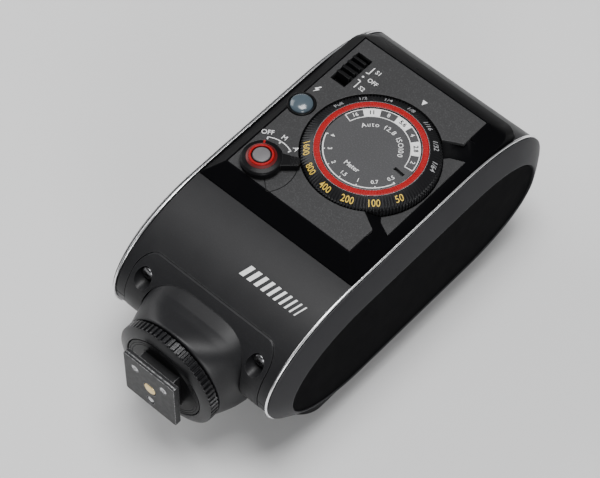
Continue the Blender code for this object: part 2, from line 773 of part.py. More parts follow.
def lock_wheel():
    """Knurled wheel and the pressure plate it drives."""
    centre = (0.0, NECK_Z)
    pivot = (0.0, NECK_FRONT_Y, NECK_Z)
    wheel_profile = (
        (9.9, -55.9),
        (WHEEL_RADIUS - 0.4, -55.9),
        (WHEEL_RADIUS, -56.2),
        (WHEEL_RADIUS, -59.0),
        (WHEEL_RADIUS - 0.4, -59.4),
        (13.6, -60.0),
        (13.4, -59.9),
        (13.4, -58.2),
        (9.9, -58.2),
    )
    finish(turned("locking_ring", wheel_profile, centre, "y", 44), BLACK, 0.4, pivot=pivot)
    plate = cylinder("pressure_plate", centre, 13.1, "y", -59.95, -58.5, 40)
    half_width = STEM_HALF_WIDTH + SHAFT_GAP
    half_height = STEM_HALF_HEIGHT + SHAFT_GAP
    low = (-half_width, -BEYOND, NECK_Z - half_height)
    high = (half_width, 0.0, NECK_Z + half_height)
    combine(plate, block("stem_hole", low, high))
    finish(plate, BLACK, 0.35, pivot=pivot)


def shoe_foot():
    """Standard shoe foot with its stem, contact, screws and locking pin."""
    rear_y = FOOT_FACE_Y + FOOT_THICKNESS
    low = (-FOOT_HALF_WIDTH, FOOT_FACE_Y, FOOT_LOW_Z)
    high = (FOOT_HALF_WIDTH, rear_y, FOOT_HIGH_Z)
    foot = block("foot_plate", low, high)
    low = (-STEM_HALF_WIDTH, rear_y - 1.0, NECK_Z - STEM_HALF_HEIGHT)
    high = (STEM_HALF_WIDTH, -44.0, NECK_Z + STEM_HALF_HEIGHT)
    combine(foot, block("stem", low, high), "UNION")
    contact_centre = (0.0, CONTACT_Z)
    contact_hole = CONTACT_RADIUS + SHAFT_GAP
    combine(foot, cylinder("contact_hole", contact_centre, contact_hole, "y", -BEYOND, -62.4, 24))
    combine(foot, cylinder("pin_hole", (0.0, LOCK_PIN_Z), 1.4, "y", -BEYOND, -54.0, 20))
    for side in (-1.0, 1.0):
        centre = (side * FOOT_SCREW_X, FOOT_SCREW_Z)
        combine(foot, cylinder("screw_seat", centre, 1.3, "y", -BEYOND, -64.2, 20))
    finish(foot, CHARCOAL, 0.35, 0.8)
    contact_profile = (
        (0.0, -65.5),
        (1.3, -65.43),
        (CONTACT_RADIUS, -65.1),
        (CONTACT_RADIUS, -63.2),
        (0.0, -63.2),
    )
    contact = turned("contact_pin", contact_profile, contact_centre, "y", 24)
    finish(contact, GOLD, 0.25, 1.0, pivot=(0.0, FOOT_FACE_Y, CONTACT_Z))
    pin_profile = ((0.0, -65.15), (0.8, -65.15), (1.1, -64.85), (1.1, -57.0), (0.0, -57.0))
    pin = turned("locking_pin", pin_profile, (0.0, LOCK_PIN_Z), "y", 20)
    finish(pin, SILVER, 0.25, 1.0, pivot=(0.0, FOOT_FACE_Y, LOCK_PIN_Z))
    for name, side in (("foot_screw_left", -1.0), ("foot_screw_right", 1.0)):
        screw = cylinder(name, (side * FOOT_SCREW_X, FOOT_SCREW_Z), 1.15, "y", -65.15, -64.3, 20)
        finish(screw, SILVER, 0.3, 1.0)


def front_cover():
    """Flat cover that the flash lies on, its spacer and its two screws."""
    lamp = (0.0, LAMP_Y)
    reach = math.degrees(math.acos((LAMP_Y - COVER_FAR_Y) / COVER_LAMP_RADIUS))
    near = COVER_NEAR_CORNER
    far = COVER_FAR_CORNER
    half = COVER_HALF_WIDTH
    outline = arc((-half + near, COVER_NEAR_Y + near), near, 180.0, 270.0, 4)
    outline += arc((half - near, COVER_NEAR_Y + near), near, 270.0, 360.0, 4)
    outline += arc((half - far, COVER_FAR_Y - far), far, 0.0, 90.0, 4)
    outline += arc(lamp, COVER_LAMP_RADIUS, -90.0 + reach, -90.0 - reach, 9)
    outline += arc((-half + far, COVER_FAR_Y - far), far, 90.0, 180.0, 4)
    cover = prism("front_cover", outline, "z", 0.0, COVER_THICKNESS)
    seat = COVER_THICKNESS + 0.1
    side_outline = [(-31.5, seat), (-25.0, seat), (-25.0, 10.8), (-28.2, 11.4), (-31.5, 12.4)]
    spacer = prism("cover_spacer", side_outline, "x", -14.0, 14.0)
    hole = COVER_HOLE_RADIUS
    for side in (-1.0, 1.0):
        centre = (side * COVER_SCREW_X, COVER_SCREW_Y)
        combine(cover, cylinder("head_seat", centre, 2.8, "z", -BEYOND, 2.2, 20))
        combine(cover, cylinder("cover_hole", centre, hole, "z", -BEYOND, BEYOND, 12))
        combine(spacer, cylinder("spacer_hole", centre, hole, "z", 0.0, BEYOND, 12))
    finish(cover, BLACK, 0.6)
    finish(spacer, BLACK, 0.5)
    screw_profile = (
        (0.0, 0.4),
        (2.2, 0.4),
        (2.5, 0.7),
        (2.5, 2.1),
        (1.2, 2.1),
        (1.2, 16.5),
        (0.0, 16.5),
    )
    for name, side in (("cover_screw_left", -1.0), ("cover_screw_right", 1.0)):
        centre = (side * COVER_SCREW_X, COVER_SCREW_Y)
        finish(turned(name, screw_profile, centre, "z", 14), SILVER, 0.35, 1.0)


def lamp():
    """Round lamp head that the fan turns on."""
    centre = (0.0, LAMP_Y)
    hub_profile = (
        (9.6, 1.7),
        (HUB_RADIUS, 1.7),
        (HUB_RADIUS, 15.9),
        (13.4, 15.9),
        (13.4, 17.4),
        (0.0, 17.4),
        (0.0, 9.0),
        (9.6, 9.0),
    )
    finish(turned("lamp_hub", hub_profile, centre, "z", 32), BLACK, 0.5)
    dish_profile = (
        (9.3, 3.4),
        (9.3, 4.0),
        (6.8, 7.0),
        (3.0, 8.7),
        (0.0, 8.7),
        (0.0, 8.2),
        (2.8, 8.2),
        (6.3, 6.6),
        (8.8, 3.4),
    )
    finish(turned("lamp_reflector", dish_profile, centre, "z", 24), SILVER, 0.1, 1.0)
    tube = cylinder("flash_tube", (LAMP_Y, 5.0), 1.3, "x", -4.6, 4.6, 16)
    finish(tube, GLASS, 0.05)
    dome_profile = (
        (0.0, 3.2),
        (9.3, 3.2),
        (9.3, 1.5),
        (HUB_RADIUS, 1.5),
        (HUB_RADIUS, 1.2),
        (9.5, 0.7),
        (5.0, 0.42),
        (0.0, 0.35),
    )
    finish(turned("lamp_dome", dome_profile, centre, "z", 32), GLASS, 0.15)
    bezel_profile = ((11.4, 1.9), (15.2, 1.9), (15.6, 2.3), (15.6, 3.2), (11.4, 3.2))
    finish(turned("lamp_bezel", bezel_profile, centre, "z", 32), SILVER, 0.3, 1.0)


def fan():
    """Folding reflector leaves, stacked under the cover when closed."""
    centre = (0.0, LAMP_Y)
    outline = arc(centre, LEAF_RADIUS, -90.0 - LEAF_HALF_DEG, -90.0 + LEAF_HALF_DEG, 7)
    outline += arc(centre, EYELET_OUTER, -90.0 + LEAF_HALF_DEG, 270.0 - LEAF_HALF_DEG, 17)
    for number in range(1, FAN_LEAVES + 1):
        low = LEAF_FIRST_Z + LEAF_PITCH * (number - 1)
        leaf = prism("fan_leaf_%d" % number, outline, "z", low, low + LEAF_THICKNESS)
        combine(leaf, cylinder("eyelet_hole", centre, EYELET_INNER, "z", -BEYOND, BEYOND, 24))
        finish(leaf, SILVER, 0.2, 1.0, pivot=(0.0, LAMP_Y, low))
    tab_outline = arc(centre, LEAF_RADIUS + 0.1, TAB_START_DEG, TAB_END_DEG, 3)
    tab_outline += arc(centre, LEAF_RADIUS + TAB_REACH, TAB_END_DEG, TAB_START_DEG, 3)
    stack_top = LEAF_FIRST_Z + LEAF_PITCH * (FAN_LEAVES - 1) + LEAF_THICKNESS
    tab = prism("fan_tab", tab_outline, "z", LEAF_FIRST_Z + 0.1, stack_top)
    finish(tab, BLACK, 0.5, pivot=(0.0, LAMP_Y, LEAF_FIRST_Z))


def build():
    """Make every part of the flash."""
    clear_scene()
    rear_shell()
    front_shell()
    cheeks()
    control_panel()
    scallop_plate()
    dial()
    mode_lever()
    test_button()
    slide_switch()
    inner_parts()
    shoe_saddle()
    neck_barrel()
    lock_wheel()
    shoe_foot()
    front_cover()
    lamp()
    fan()


build()
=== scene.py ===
"""Looks for the retro camera flash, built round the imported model.

Shapes are written in millimetres in the model's own frame, and MM turns them
into metres when a mesh is made.
"""

import math

import bmesh
import bpy
from mathutils import Matrix, Vector


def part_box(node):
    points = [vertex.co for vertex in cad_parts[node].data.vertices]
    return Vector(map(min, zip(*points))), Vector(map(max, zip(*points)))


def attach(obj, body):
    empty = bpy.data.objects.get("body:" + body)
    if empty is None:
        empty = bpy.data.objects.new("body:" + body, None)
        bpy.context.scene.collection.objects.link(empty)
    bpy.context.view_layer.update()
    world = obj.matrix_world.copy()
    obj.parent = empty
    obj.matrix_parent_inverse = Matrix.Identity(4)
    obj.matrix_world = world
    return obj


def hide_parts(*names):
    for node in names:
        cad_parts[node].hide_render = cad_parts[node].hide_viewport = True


MM = 0.001
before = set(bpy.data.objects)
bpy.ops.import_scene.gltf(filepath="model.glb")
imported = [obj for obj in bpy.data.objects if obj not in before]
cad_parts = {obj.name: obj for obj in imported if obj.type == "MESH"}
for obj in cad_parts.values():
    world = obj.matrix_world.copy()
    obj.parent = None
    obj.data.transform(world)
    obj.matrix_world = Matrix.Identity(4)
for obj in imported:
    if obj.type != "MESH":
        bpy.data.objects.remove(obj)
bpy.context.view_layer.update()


def span(node):
    """Give a CAD node's lowest and highest corners in millimetres."""
    low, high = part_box(node)
    return low / MM, high / MM


def middle(node):
    """Give the middle of a CAD node's box in millimetres."""
    low, high = span(node)
    return (low + high) / 2


def half_width(node_name):
    """Give half the width of a CAD node in millimetres."""
    low, high = span(node_name)
    return (high.x - low.x) / 2


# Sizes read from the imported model.
TRIM_LOW, TRIM_HIGH = span("right_trim")
TRIM_LIP = 0.3
BODY_NEAR = TRIM_LOW.y + TRIM_LIP
BODY_FAR = TRIM_HIGH.y - TRIM_LIP
BODY_MID = (TRIM_LOW.z + TRIM_HIGH.z) / 2
BODY_HALF = (TRIM_HIGH.z - TRIM_LOW.z) / 2 - TRIM_LIP
SHELL_HALF = span("rear_shell")[1].x
PANEL_LOW, PANEL_HIGH = span("control_panel")
PANEL_Z = PANEL_HIGH.z
DIAL = middle("dial_ring")
DIAL_RADIUS = half_width("dial_ring")
DIAL_TOP = span("dial_disc")[1].z
RED_OUTER = half_width("dial_red_ring")
RED_INNER = RED_OUTER - 1.8
RED_TOP = DIAL_TOP + 0.1
RING_BORE = RED_OUTER + 0.2
DISC_RADIUS = half_width("dial_disc")
LEVER = middle("lever_cap")
BUTTON = middle("test_button")
SWITCH = middle("switch_well")
WHEEL = middle("locking_ring")
WHEEL_RADIUS = half_width("locking_ring")
FOOT_LOW, FOOT_HIGH = span("foot_plate")
SADDLE_LOW, SADDLE_HIGH = span("shoe_saddle")
LAMP = middle("lamp_dome")
COVER_LOW, COVER_HIGH = span("front_cover")
COVER_SCREWS = ("cover_screw_left", "cover_screw_right")
SCALLOP_Z = span("scallop_plate")[1].z
MARK_LIFT = 0.005
MARK_Z = PANEL_Z + MARK_LIFT

# Shape of the body's oval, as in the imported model.
CAP_LENGTH = 35.0
NEAR_POWER = 2.0
FAR_POWER = 2.2
CAP_STEPS = 40
SHELL_INSET = 0.35
SHELL_WALL = 2.5
CHEEK_FLATTEN = 0.70
HALF_GAP = 0.12

# The neck's squarest section: half width, half height and power.
NECK_SECTION = (18.3, 14.9, 3.7)
NECK_GAP = 0.12
NECK_STEPS = 96
SADDLE_CORNER = 4.5

# Each scallop line: its distance from the dial's centre line, and its slope.
SCALLOP_FLOOR = (-6.1, 1.12)
SCALLOP_RIM = (9.5, 0.556)
SCALLOP_START = 16.0
FLOOR_START = 15.0

# The plinth's rim round the panel, where its slopes end, and its foot inside
# the body.
PLINTH_RIM = 0.4
PLINTH_FOOT = 51.0
PLINTH_ROOT = 38.0
FAR_CORNER = 5.0

# Radii of holes, and heights under the controls.
WELL_RADIUS = 19.8
LEVER_HOLE = 2.2
BUTTON_BORE = 4.15
SCREW_HOLE = 1.35
DIAL_FLOOR = 52.6
RING_SEAT = 53.6
RED_SEAT = 53.8
DISC_SEAT = 53.9
SWITCH_FLOOR = 53.2

GROOVE_STEPS = 480
ARM_ANGLE = 33.5
WHEEL_RIB = 0.75
WHEEL_WEB = -58.2

# How far cutters reach.
WIDE = 60.0
LONG = 90.0
ACROSS = (-40.0, 40.0)
SHOE_END = (-62.0, -30.0)
FOOT_FRONT = -70.0
BELOW = -5.0
UNDER_PANEL = 50.0
ABOVE = 60.0


# ---------------------------------------------------------------- materials

def put(tree, socket, value):
    """Link a socket to another one, or set its value."""
    if isinstance(value, bpy.types.NodeSocket):
        tree.links.new(value, socket)
    elif socket.type == "RGBA":
        socket.default_value = (*value, 1.0)
    else:
        socket.default_value = value


def node(tree, kind, inputs, **options):
    """Add a shader node with its options and inputs."""
    item = tree.nodes.new("ShaderNode" + kind)
    for option, value in options.items():
        setattr(item, option, value)
    for key, value in inputs.items():
        put(tree, item.inputs[key], value)
    return item


def start_material(name, values):
    """Start a material; return it with its node tree and shader."""
    material = bpy.data.materials.new(name)
    material.use_nodes = True
    shader = material.node_tree.nodes["Principled BSDF"]
    for key, value in values.items():
        shader.inputs[key].default_value = value
    return material, material.node_tree, shader


def noise(tree, vector, feature, detail=4.0):
    """Add a noise texture whose features are about the given size in mm."""
    inputs = {"Vector": vector, "Scale": 1.0 / feature, "Detail": detail}
    return node(tree, "TexNoise", inputs).outputs["Fac"]


def remap(tree, value, low, high, from_low=0.3, from_high=0.7):
    """Stretch a value's range to low and high."""
    limits = {"From Min": from_low, "From Max": from_high, "To Min": low, "To Max": high}
    return node(tree, "MapRange", {"Value": value, **limits}).outputs["Result"]


def blend_colours(tree, factor, first, second):
    """Mix two colours; either may be a socket."""
    return node(tree, "Mix", {0: factor, 6: first, 7: second}, data_type="RGBA").outputs[2]


def edge_mask(tree, vector, radius):
    """Mark edges, broken up by noise: worn coating on most finishes, a painted highlight on the red one."""
    rounded = node(tree, "Bevel", {"Radius": radius * MM}).outputs["Normal"]
    normal = node(tree, "NewGeometry", {}).outputs["Normal"]
    dot = node(tree, "VectorMath", {0: rounded, 1: normal}, operation="DOT_PRODUCT").outputs["Value"]
    edge = remap(tree, dot, 1.0, 0.0, 0.93, 0.995)
    broken = remap(tree, noise(tree, vector, 0.9), 0.2, 1.0, 0.35, 0.6)
    return node(tree, "Math", {0: edge, 1: broken}, operation="MULTIPLY").outputs[0]


def raise_surface(tree, shader, height, depth):
    """Bump the surface by depth millimetres where height is great."""
    bump = node(tree, "Bump", {"Height": height, "Strength": 1.0, "Distance": depth * MM})
    put(tree, shader.inputs["Normal"], bump.outputs["Normal"])


def finish(name, colour, roughness, metallic=0.0, spread=0.06, patch=14.0, sheen=0.03,
           grain=0.3, depth=0.008, stretch=(1.0, 1.0, 1.0), edge_wear_and_highlight=None, edge=0.3,
           grain_glint=0.0, specular=0.5, index=1.45, coat=0.0, transmission=0.0):
    """Make a surface with patchy colour and sheen, fine grain and lighter edges, which are wear on most
    finishes and a painted highlight on the red one.

    patch and grain are feature sizes and depth the grain's height, in mm.
    stretch draws the grain out along an axis where it is below 1, and the fleck amount puts pale flecks on
    the grain's tops, a painted highlight.
    """
    values = {"Metallic": metallic, "Specular IOR Level": specular, "IOR": index,
              "Coat Weight": coat, "Coat Roughness": 0.12, "Transmission Weight": transmission}
    material, tree, shader = start_material(name, values)
    local = node(tree, "TexCoord", {}).outputs["Object"]
    millimetres = tuple(value / MM for value in stretch)
    vector = node(tree, "Mapping", {"Vector": local, "Scale": millimetres}).outputs["Vector"]
    mottle = remap(tree, noise(tree, vector, patch), 0.0, 1.0)
    dark = tuple(channel * (1.0 - spread) for channel in colour)
    light = tuple(min(1.0, channel * (1.0 + spread)) for channel in colour)
    tint = blend_colours(tree, mottle, dark, light)
    grains = noise(tree, vector, grain, 3.0)
    # Pale flecks on the grain's tops: a painted highlight for the grain's glints.
    if grain_glint:
        glint_flecks = remap(tree, grains, 0.0, grain_glint, 0.5, 0.75)
        glint_colour = tuple(min(1.0, channel * 4.0) for channel in colour)
        tint = blend_colours(tree, glint_flecks, tint, glint_colour)
    # Lighter edges: wear on most finishes, a painted highlight along the red ring's rim.
    if edge_wear_and_highlight is not None:
        tint = blend_colours(tree, edge_mask(tree, vector, edge), tint, edge_wear_and_highlight)
    glossy, dull = max(0.02, roughness - sheen), min(1.0, roughness + sheen)
    put(tree, shader.inputs["Base Color"], tint)
    put(tree, shader.inputs["Roughness"], remap(tree, noise(tree, vector, patch * 0.37), glossy, dull))
    raise_surface(tree, shader, grains, depth)
    return material


def rings_finish(name, colour, roughness, centre, pitch, depth):
    """Make a turned metal surface with fine rings round a centre (x, y)."""
    material, tree, shader = start_material(name, {"Metallic": 1.0, "Coat Roughness": 0.12})
    local = node(tree, "TexCoord", {}).outputs["Object"]
    shift = {"Vector": local, "Location": (-centre[0], -centre[1], 0.0), "Scale": (1.0 / MM,) * 3}
    vector = node(tree, "Mapping", shift).outputs["Vector"]
    waves = {"Vector": vector, "Scale": 0.314 / pitch, "Distortion": 0.6, "Detail": 2.0}
    rings = node(tree, "TexWave", waves, wave_type="RINGS", rings_direction="Z").outputs["Fac"]
    dark = tuple(channel * 0.82 for channel in colour)
    mottle = remap(tree, noise(tree, vector, 2.5), 0.0, 1.0)
    put(tree, shader.inputs["Base Color"], blend_colours(tree, mottle, dark, colour))
    rough = remap(tree, rings, roughness - 0.06, roughness + 0.08, 0.0, 1.0)
    put(tree, shader.inputs["Roughness"], rough)
    raise_surface(tree, shader, rings, depth)
    return material


# Pale grain flecks on the shell are a painted highlight.
SHELL = finish("shell_satin", (0.01, 0.01, 0.011), 0.42, index=1.36, grain=0.34, depth=0.012,
               grain_glint=0.15, edge_wear_and_highlight=(0.03, 0.03, 0.031), edge=0.25)
PLINTH = finish("plinth_gloss", (0.003, 0.003, 0.0035), 0.3, index=1.05, grain=0.5,
                depth=0.002, edge_wear_and_highlight=(0.012, 0.012, 0.013), edge=0.2)
CHEEK = finish("cheek_satin", (0.026, 0.026, 0.028), 0.42, index=1.22, grain=0.3, depth=0.003,
               edge_wear_and_highlight=(0.1, 0.1, 0.105), edge=0.25)
INLAY = finish("inlay_matte", (0.003, 0.003, 0.0035), 0.6, index=1.06, grain=0.4, depth=0.01)
CHROME = finish("trim_chrome", (0.92, 0.92, 0.93), 0.22, 1.0, spread=0.02, patch=9.0, sheen=0.02,
                grain=0.8, depth=0.0003, stretch=(1.0, 0.2, 0.2))
# Pale grain flecks on the panel are a painted highlight.
PANEL = finish("panel_sand", (0.024, 0.024, 0.025), 0.52, index=1.36, grain=0.36, depth=0.035,
               grain_glint=0.32, edge_wear_and_highlight=(0.05, 0.05, 0.052), edge=0.15)
ANODISED = finish("black_anodised", (0.008, 0.008, 0.009), 0.33, 0.25, specular=0.4, grain=0.2,
                  depth=0.003, edge_wear_and_highlight=(0.09, 0.09, 0.095), edge=0.12)
# Pale grain flecks on the disc are a painted highlight.
DISC = finish("disc_matte", (0.04, 0.04, 0.042), 0.5, specular=0.45, grain=0.36, depth=0.018,
              grain_glint=0.2)
# Red finish: its lighter edges are a painted highlight along the ring's rim.
RED = finish("red_anodised", (0.3, 0.005, 0.007), 0.42, spread=0.1, patch=3.0,
             grain=0.3, depth=0.003, index=1.25, edge_wear_and_highlight=(0.45, 0.03, 0.03), edge=0.1)
# A darker copy of the red: painted shade on the lever ring's outer slope.
RED_SHADED = finish("red_painted_shade", (0.1, 0.003, 0.004), 0.42, 0.1, spread=0.12, patch=2.0,
                  grain=0.25, depth=0.004)
GREY = finish("grey_satin", (0.12, 0.115, 0.12), 0.42, patch=2.0, grain=0.2, depth=0.004)
MOULDED = finish("black_moulded", (0.004, 0.004, 0.0045), 0.36, index=1.22, grain=0.25,
                 depth=0.006, edge_wear_and_highlight=(0.03, 0.03, 0.031), edge=0.2)
SMOKE = finish("smoke_clear", (0.075, 0.105, 0.13), 0.22, patch=2.0, sheen=0.03, grain=0.6,
               depth=0.002, coat=0.6, transmission=0.25)
FOOT = finish("foot_coated", (0.012, 0.012, 0.013), 0.4, 0.2, patch=4.0, sheen=0.06, grain=0.3,
              depth=0.004, index=1.3, edge_wear_and_highlight=(0.5, 0.5, 0.51), edge=0.25)
STEEL = finish("turned_steel", (0.52, 0.52, 0.53), 0.28, 1.0, patch=1.5, grain=0.15, depth=0.003)
DARK_STEEL = finish("dark_steel", (0.16, 0.16, 0.165), 0.3, 1.0, patch=1.5, grain=0.15, depth=0.003)
GOLD = finish("contact_gold", (0.8, 0.62, 0.3), 0.22, 1.0, spread=0.1, patch=1.2,
              grain=0.2, depth=0.002)
LEAF = finish("leaf_polished", (0.74, 0.74, 0.75), 0.2, 1.0, patch=11.0, sheen=0.05,
              grain=0.35, depth=0.002, stretch=(1.0, 0.08, 1.0))
MIRROR = finish("reflector_bright", (0.86, 0.86, 0.87), 0.07, 1.0, patch=3.0, sheen=0.03,
                grain=1.2, depth=0.006)
GLASS = finish("tube_glass", (0.92, 0.95, 0.96), 0.04, spread=0.03, patch=4.0, sheen=0.02,
               grain=1.5, depth=0.002, transmission=0.95)
LENS = finish("lens_frosted", (0.86, 0.89, 0.91), 0.34, spread=0.03, patch=4.0, sheen=0.06,
              grain=0.25, depth=0.012, transmission=0.85)
COVER = finish("cover_leatherette", (0.01, 0.01, 0.011), 0.5, specular=0.42, grain=0.8,
               depth=0.1, edge_wear_and_highlight=(0.03, 0.03, 0.031), edge=0.3)
# Grey for white print: painted shade on the ring's white scale.
SHADED_PRINT = finish("white_print_painted_shade", (0.3, 0.3, 0.31), 0.5, patch=1.0, grain=0.12, depth=0.003)
WHITE = finish("white_print", (0.72, 0.72, 0.72), 0.5, patch=1.0, grain=0.12, depth=0.003)
YELLOW = finish("yellow_print", (0.62, 0.42, 0.05), 0.5, spread=0.08, patch=1.0,
                grain=0.12, depth=0.003)
BOARD = finish("board_green", (0.02, 0.12, 0.05), 0.4, grain=0.4, depth=0.01)
COPPER = finish("winding_copper", (0.6, 0.25, 0.1), 0.35, 0.9, grain=0.4, depth=0.06,
                stretch=(0.05, 1.0, 1.0))
WRAP = finish("cell_wrap", (0.03, 0.08, 0.25), 0.32, patch=12.0, grain=0.8, depth=0.01)


# ------------------------------------------------------------------- shapes

def shape(name, mesh_data):
    """Make an object from a mesh drawn in millimetres."""
    bmesh.ops.recalc_face_normals(mesh_data, faces=mesh_data.faces)
    mesh = bpy.data.meshes.new(name)
    mesh_data.to_mesh(mesh)
    mesh_data.free()
    mesh.transform(Matrix.Scale(MM, 4))
    item = bpy.data.objects.new(name, mesh)
    bpy.context.scene.collection.objects.link(item)
    return item


def evaluated(item):
    """Replace an object's mesh by what its modifiers make of it."""
    bpy.context.view_layer.update()
    graph = bpy.context.evaluated_depsgraph_get()
    mesh = bpy.data.meshes.new_from_object(item.evaluated_get(graph))
    item.modifiers.clear()
    item.data = mesh
    return item


def soften(item, width, segments=2, angle=30.0):
    """Round an object's edges by width millimetres."""
    modifier = item.modifiers.new("round", "BEVEL")
    modifier.width = width * MM
    modifier.segments = segments
    modifier.limit_method = "ANGLE"
    modifier.angle_limit = math.radians(angle)
    return evaluated(item)


def combine(item, other, operation="DIFFERENCE"):
    """Apply one Boolean and discard the second object."""
    modifier = item.modifiers.new("join", "BOOLEAN")
    modifier.operation = operation
    modifier.object = other
    evaluated(item)
    bpy.data.objects.remove(other, do_unlink=True)
    return item


def dress(item, material, stands_for=None, body="housing", sharp=32.0):
    """Smooth a piece, give it its material, and hang it on its body.

    stands_for is the CAD node that the piece replaces, if any.
    """
    item.data.materials.clear()
    item.data.materials.append(material)
    item.data.shade_smooth()
    item.data.set_sharp_from_angle(angle=math.radians(sharp))
    weighted = item.modifiers.new("normals", "WEIGHTED_NORMAL")
    weighted.keep_sharp = True
    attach(item, body)
    if stands_for:
        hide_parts(stands_for)
    return item


def place(axis, point, height):
    """Put a flat outline point on the plane at height along the axis."""
    first, second = point
    if axis == "x":
        return (height, first, second)
    if axis == "y":
        return (first, height, second)
    return (first, second, height)


def skin(loops, closed=False):
    """Skin equal loops of points; closed joins the last loop to the first."""
    mesh_data = bmesh.new()
    rows = [[mesh_data.verts.new(point) for point in loop] for loop in loops]
    pairs = list(zip(rows, rows[1:]))
    if closed:
        pairs.append((rows[-1], rows[0]))
    count = len(rows[0])
    for low, high in pairs:
        for index in range(count):
            following = (index + 1) % count
            mesh_data.faces.new((low[index], low[following], high[following], high[index]))
    if not closed:
        mesh_data.faces.new(rows[0])
        mesh_data.faces.new(rows[-1])
    return mesh_data


def prism(name, outline, axis, low, high):
    """Extrude a flat outline along x (y, z), y (x, z) or z (x, y)."""
    loops = [[place(axis, point, height) for point in outline] for height in (low, high)]
    return shape(name, skin(loops))


def rectangle(low, high):
    """List the corners of a flat rectangle."""
    return [(low[0], low[1]), (high[0], low[1]), (high[0], high[1]), (low[0], high[1])]


def block(name, low, high):
    """Make a box from its lowest and highest corners."""
    return prism(name, rectangle(low, high), "z", low[2], high[2])


def arc(centre, radius, start, end, count):
    """List count points of an arc between two angles in degrees."""
    points = []
    for index in range(count):
        angle = math.radians(start + (end - start) * index / (count - 1))
        points.append((centre[0] + radius * math.cos(angle), centre[1] + radius * math.sin(angle)))
    return points


def circle(centre, radius, steps):
    """List the points of a circle once round."""
    return arc(centre, radius, 0.0, 360.0 * (steps - 1) / steps, steps)


def drill(item, centre, radius, low, high, steps, axis="z"):
    """Cut a round hole along an axis."""
    return combine(item, prism("hole", circle(centre, radius, steps), axis, low, high))


def fillet(points, radius, steps=4, closed=True):
    """Round the corners of an outline or a profile."""
    rounded = []
    count = len(points)
    for index, point in enumerate(points):
        here = Vector(point)
        before = Vector(points[index - 1])
        after = Vector(points[(index + 1) % count])
        if not closed and index in (0, count - 1):
            rounded.append(tuple(here))
            continue
        reach = min(radius, (before - here).length * 0.45, (after - here).length * 0.45)
        start = here + (before - here).normalized() * reach
        end = here + (after - here).normalized() * reach
        for step in range(steps + 1):
            t = step / steps
            curve = start * (1 - t) ** 2 + here * 2 * t * (1 - t) + end * t ** 2
            rounded.append(tuple(curve))
    return rounded


def rod_profile(radius, low, high, corner, steps=4):
    """List the profile of a plain rod with round corners."""
    return fillet([(0.0, low), (radius, low), (radius, high), (0.0, high)], corner, steps, closed=False)


def turned(name, profile, centre, steps, axis="z", ribs=1, sharpness=1.6):
    """Turn a closed profile of (radius, height) points about an axis.

    A point's third value is how deep the ribs are cut there, and a greater
    sharpness makes the ribs' flanks steeper.
    """
    mesh_data = bmesh.new()
    rows = []
    for point in profile:
        radius, height = point[:2]
        depth = point[2] if len(point) > 2 else 0.0
        if radius <= 1e-6:
            rows.append([mesh_data.verts.new(place(axis, centre[:2], height))])
            continue
        row = []
        for step in range(steps):
            angle = math.tau * step / steps
            wave = max(-1.0, min(1.0, math.cos(ribs * angle) * sharpness))
            reach = radius - depth * (0.5 - 0.5 * wave)
            corner = (centre[0] + reach * math.cos(angle), centre[1] + reach * math.sin(angle))
            row.append(mesh_data.verts.new(place(axis, corner, height)))
        rows.append(row)
    for low, high in zip(rows, rows[1:] + rows[:1]):
        if len(low) == 1 and len(high) == 1:
            continue
        for index in range(steps):
            following = (index + 1) % steps
            if len(low) == 1:
                mesh_data.faces.new((low[0], high[following], high[index]))
            elif len(high) == 1:
                mesh_data.faces.new((low[index], low[following], high[0]))
            else:
                mesh_data.faces.new((low[index], low[following], high[following], high[index]))
    return shape(name, mesh_data)


def hull(name, points):
    """Make the smallest convex solid that holds the points."""
    mesh_data = bmesh.new()
    for point in points:
        mesh_data.verts.new(point)
    result = bmesh.ops.convex_hull(mesh_data, input=mesh_data.verts)
    loose = [item for item in result["geom_interior"] if isinstance(item, bmesh.types.BMVert)]
    bmesh.ops.delete(mesh_data, geom=loose, context="VERTS")
    bmesh.ops.dissolve_limit(
        mesh_data, angle_limit=math.radians(1.0), verts=mesh_data.verts, edges=mesh_data.edges
    )
    return shape(name, mesh_data)


def rounded_rectangle(low, high, radius, steps=8):
    """List a rectangle's outline with round corners."""
    near_x, near_y = low[0] + radius, low[1] + radius
    far_x, far_y = high[0] - radius, high[1] - radius
    outline = []
    for index, centre in enumerate(((far_x, far_y), (near_x, far_y), (near_x, near_y), (far_x, near_y))):
        outline += arc(centre, radius, 90.0 * index, 90.0 * (index + 1), steps)
    return outline


def power_curve(value, power):
    """Raise the size of a value to a power and keep its sign."""
    return math.copysign(abs(value) ** (2.0 / power), value)


def oval(inset, flatten=1.0):
    """List the body's side outline (y, z), moved inwards by inset.

    With flatten below 1 the lower edge moves in less than the upper edge.
    """
    length = CAP_LENGTH - inset
    height = BODY_HALF - inset * flatten
    middle_z = BODY_MID - inset * (1.0 - flatten)
    caps = (
        (BODY_FAR - CAP_LENGTH, -90.0, FAR_POWER),
        (BODY_NEAR + CAP_LENGTH, 90.0, NEAR_POWER),
    )
    outline = []
    for centre_y, start, power in caps:
        for step in range(CAP_STEPS + 1):
            angle = math.radians(start + 180.0 * step / CAP_STEPS)
            along = length * power_curve(math.cos(angle), power)
            across = height * power_curve(math.sin(angle), power)
            outline.append((centre_y + along, middle_z + across))
    return outline


def oval_loops(stations, side, flatten=1.0):
    """List oval loops for (x, inset) stations on one side of the body."""
    return [[(side * x, y, z) for y, z in oval(inset, flatten)] for x, inset in stations]


# -------------------------------------------------------------------- marks

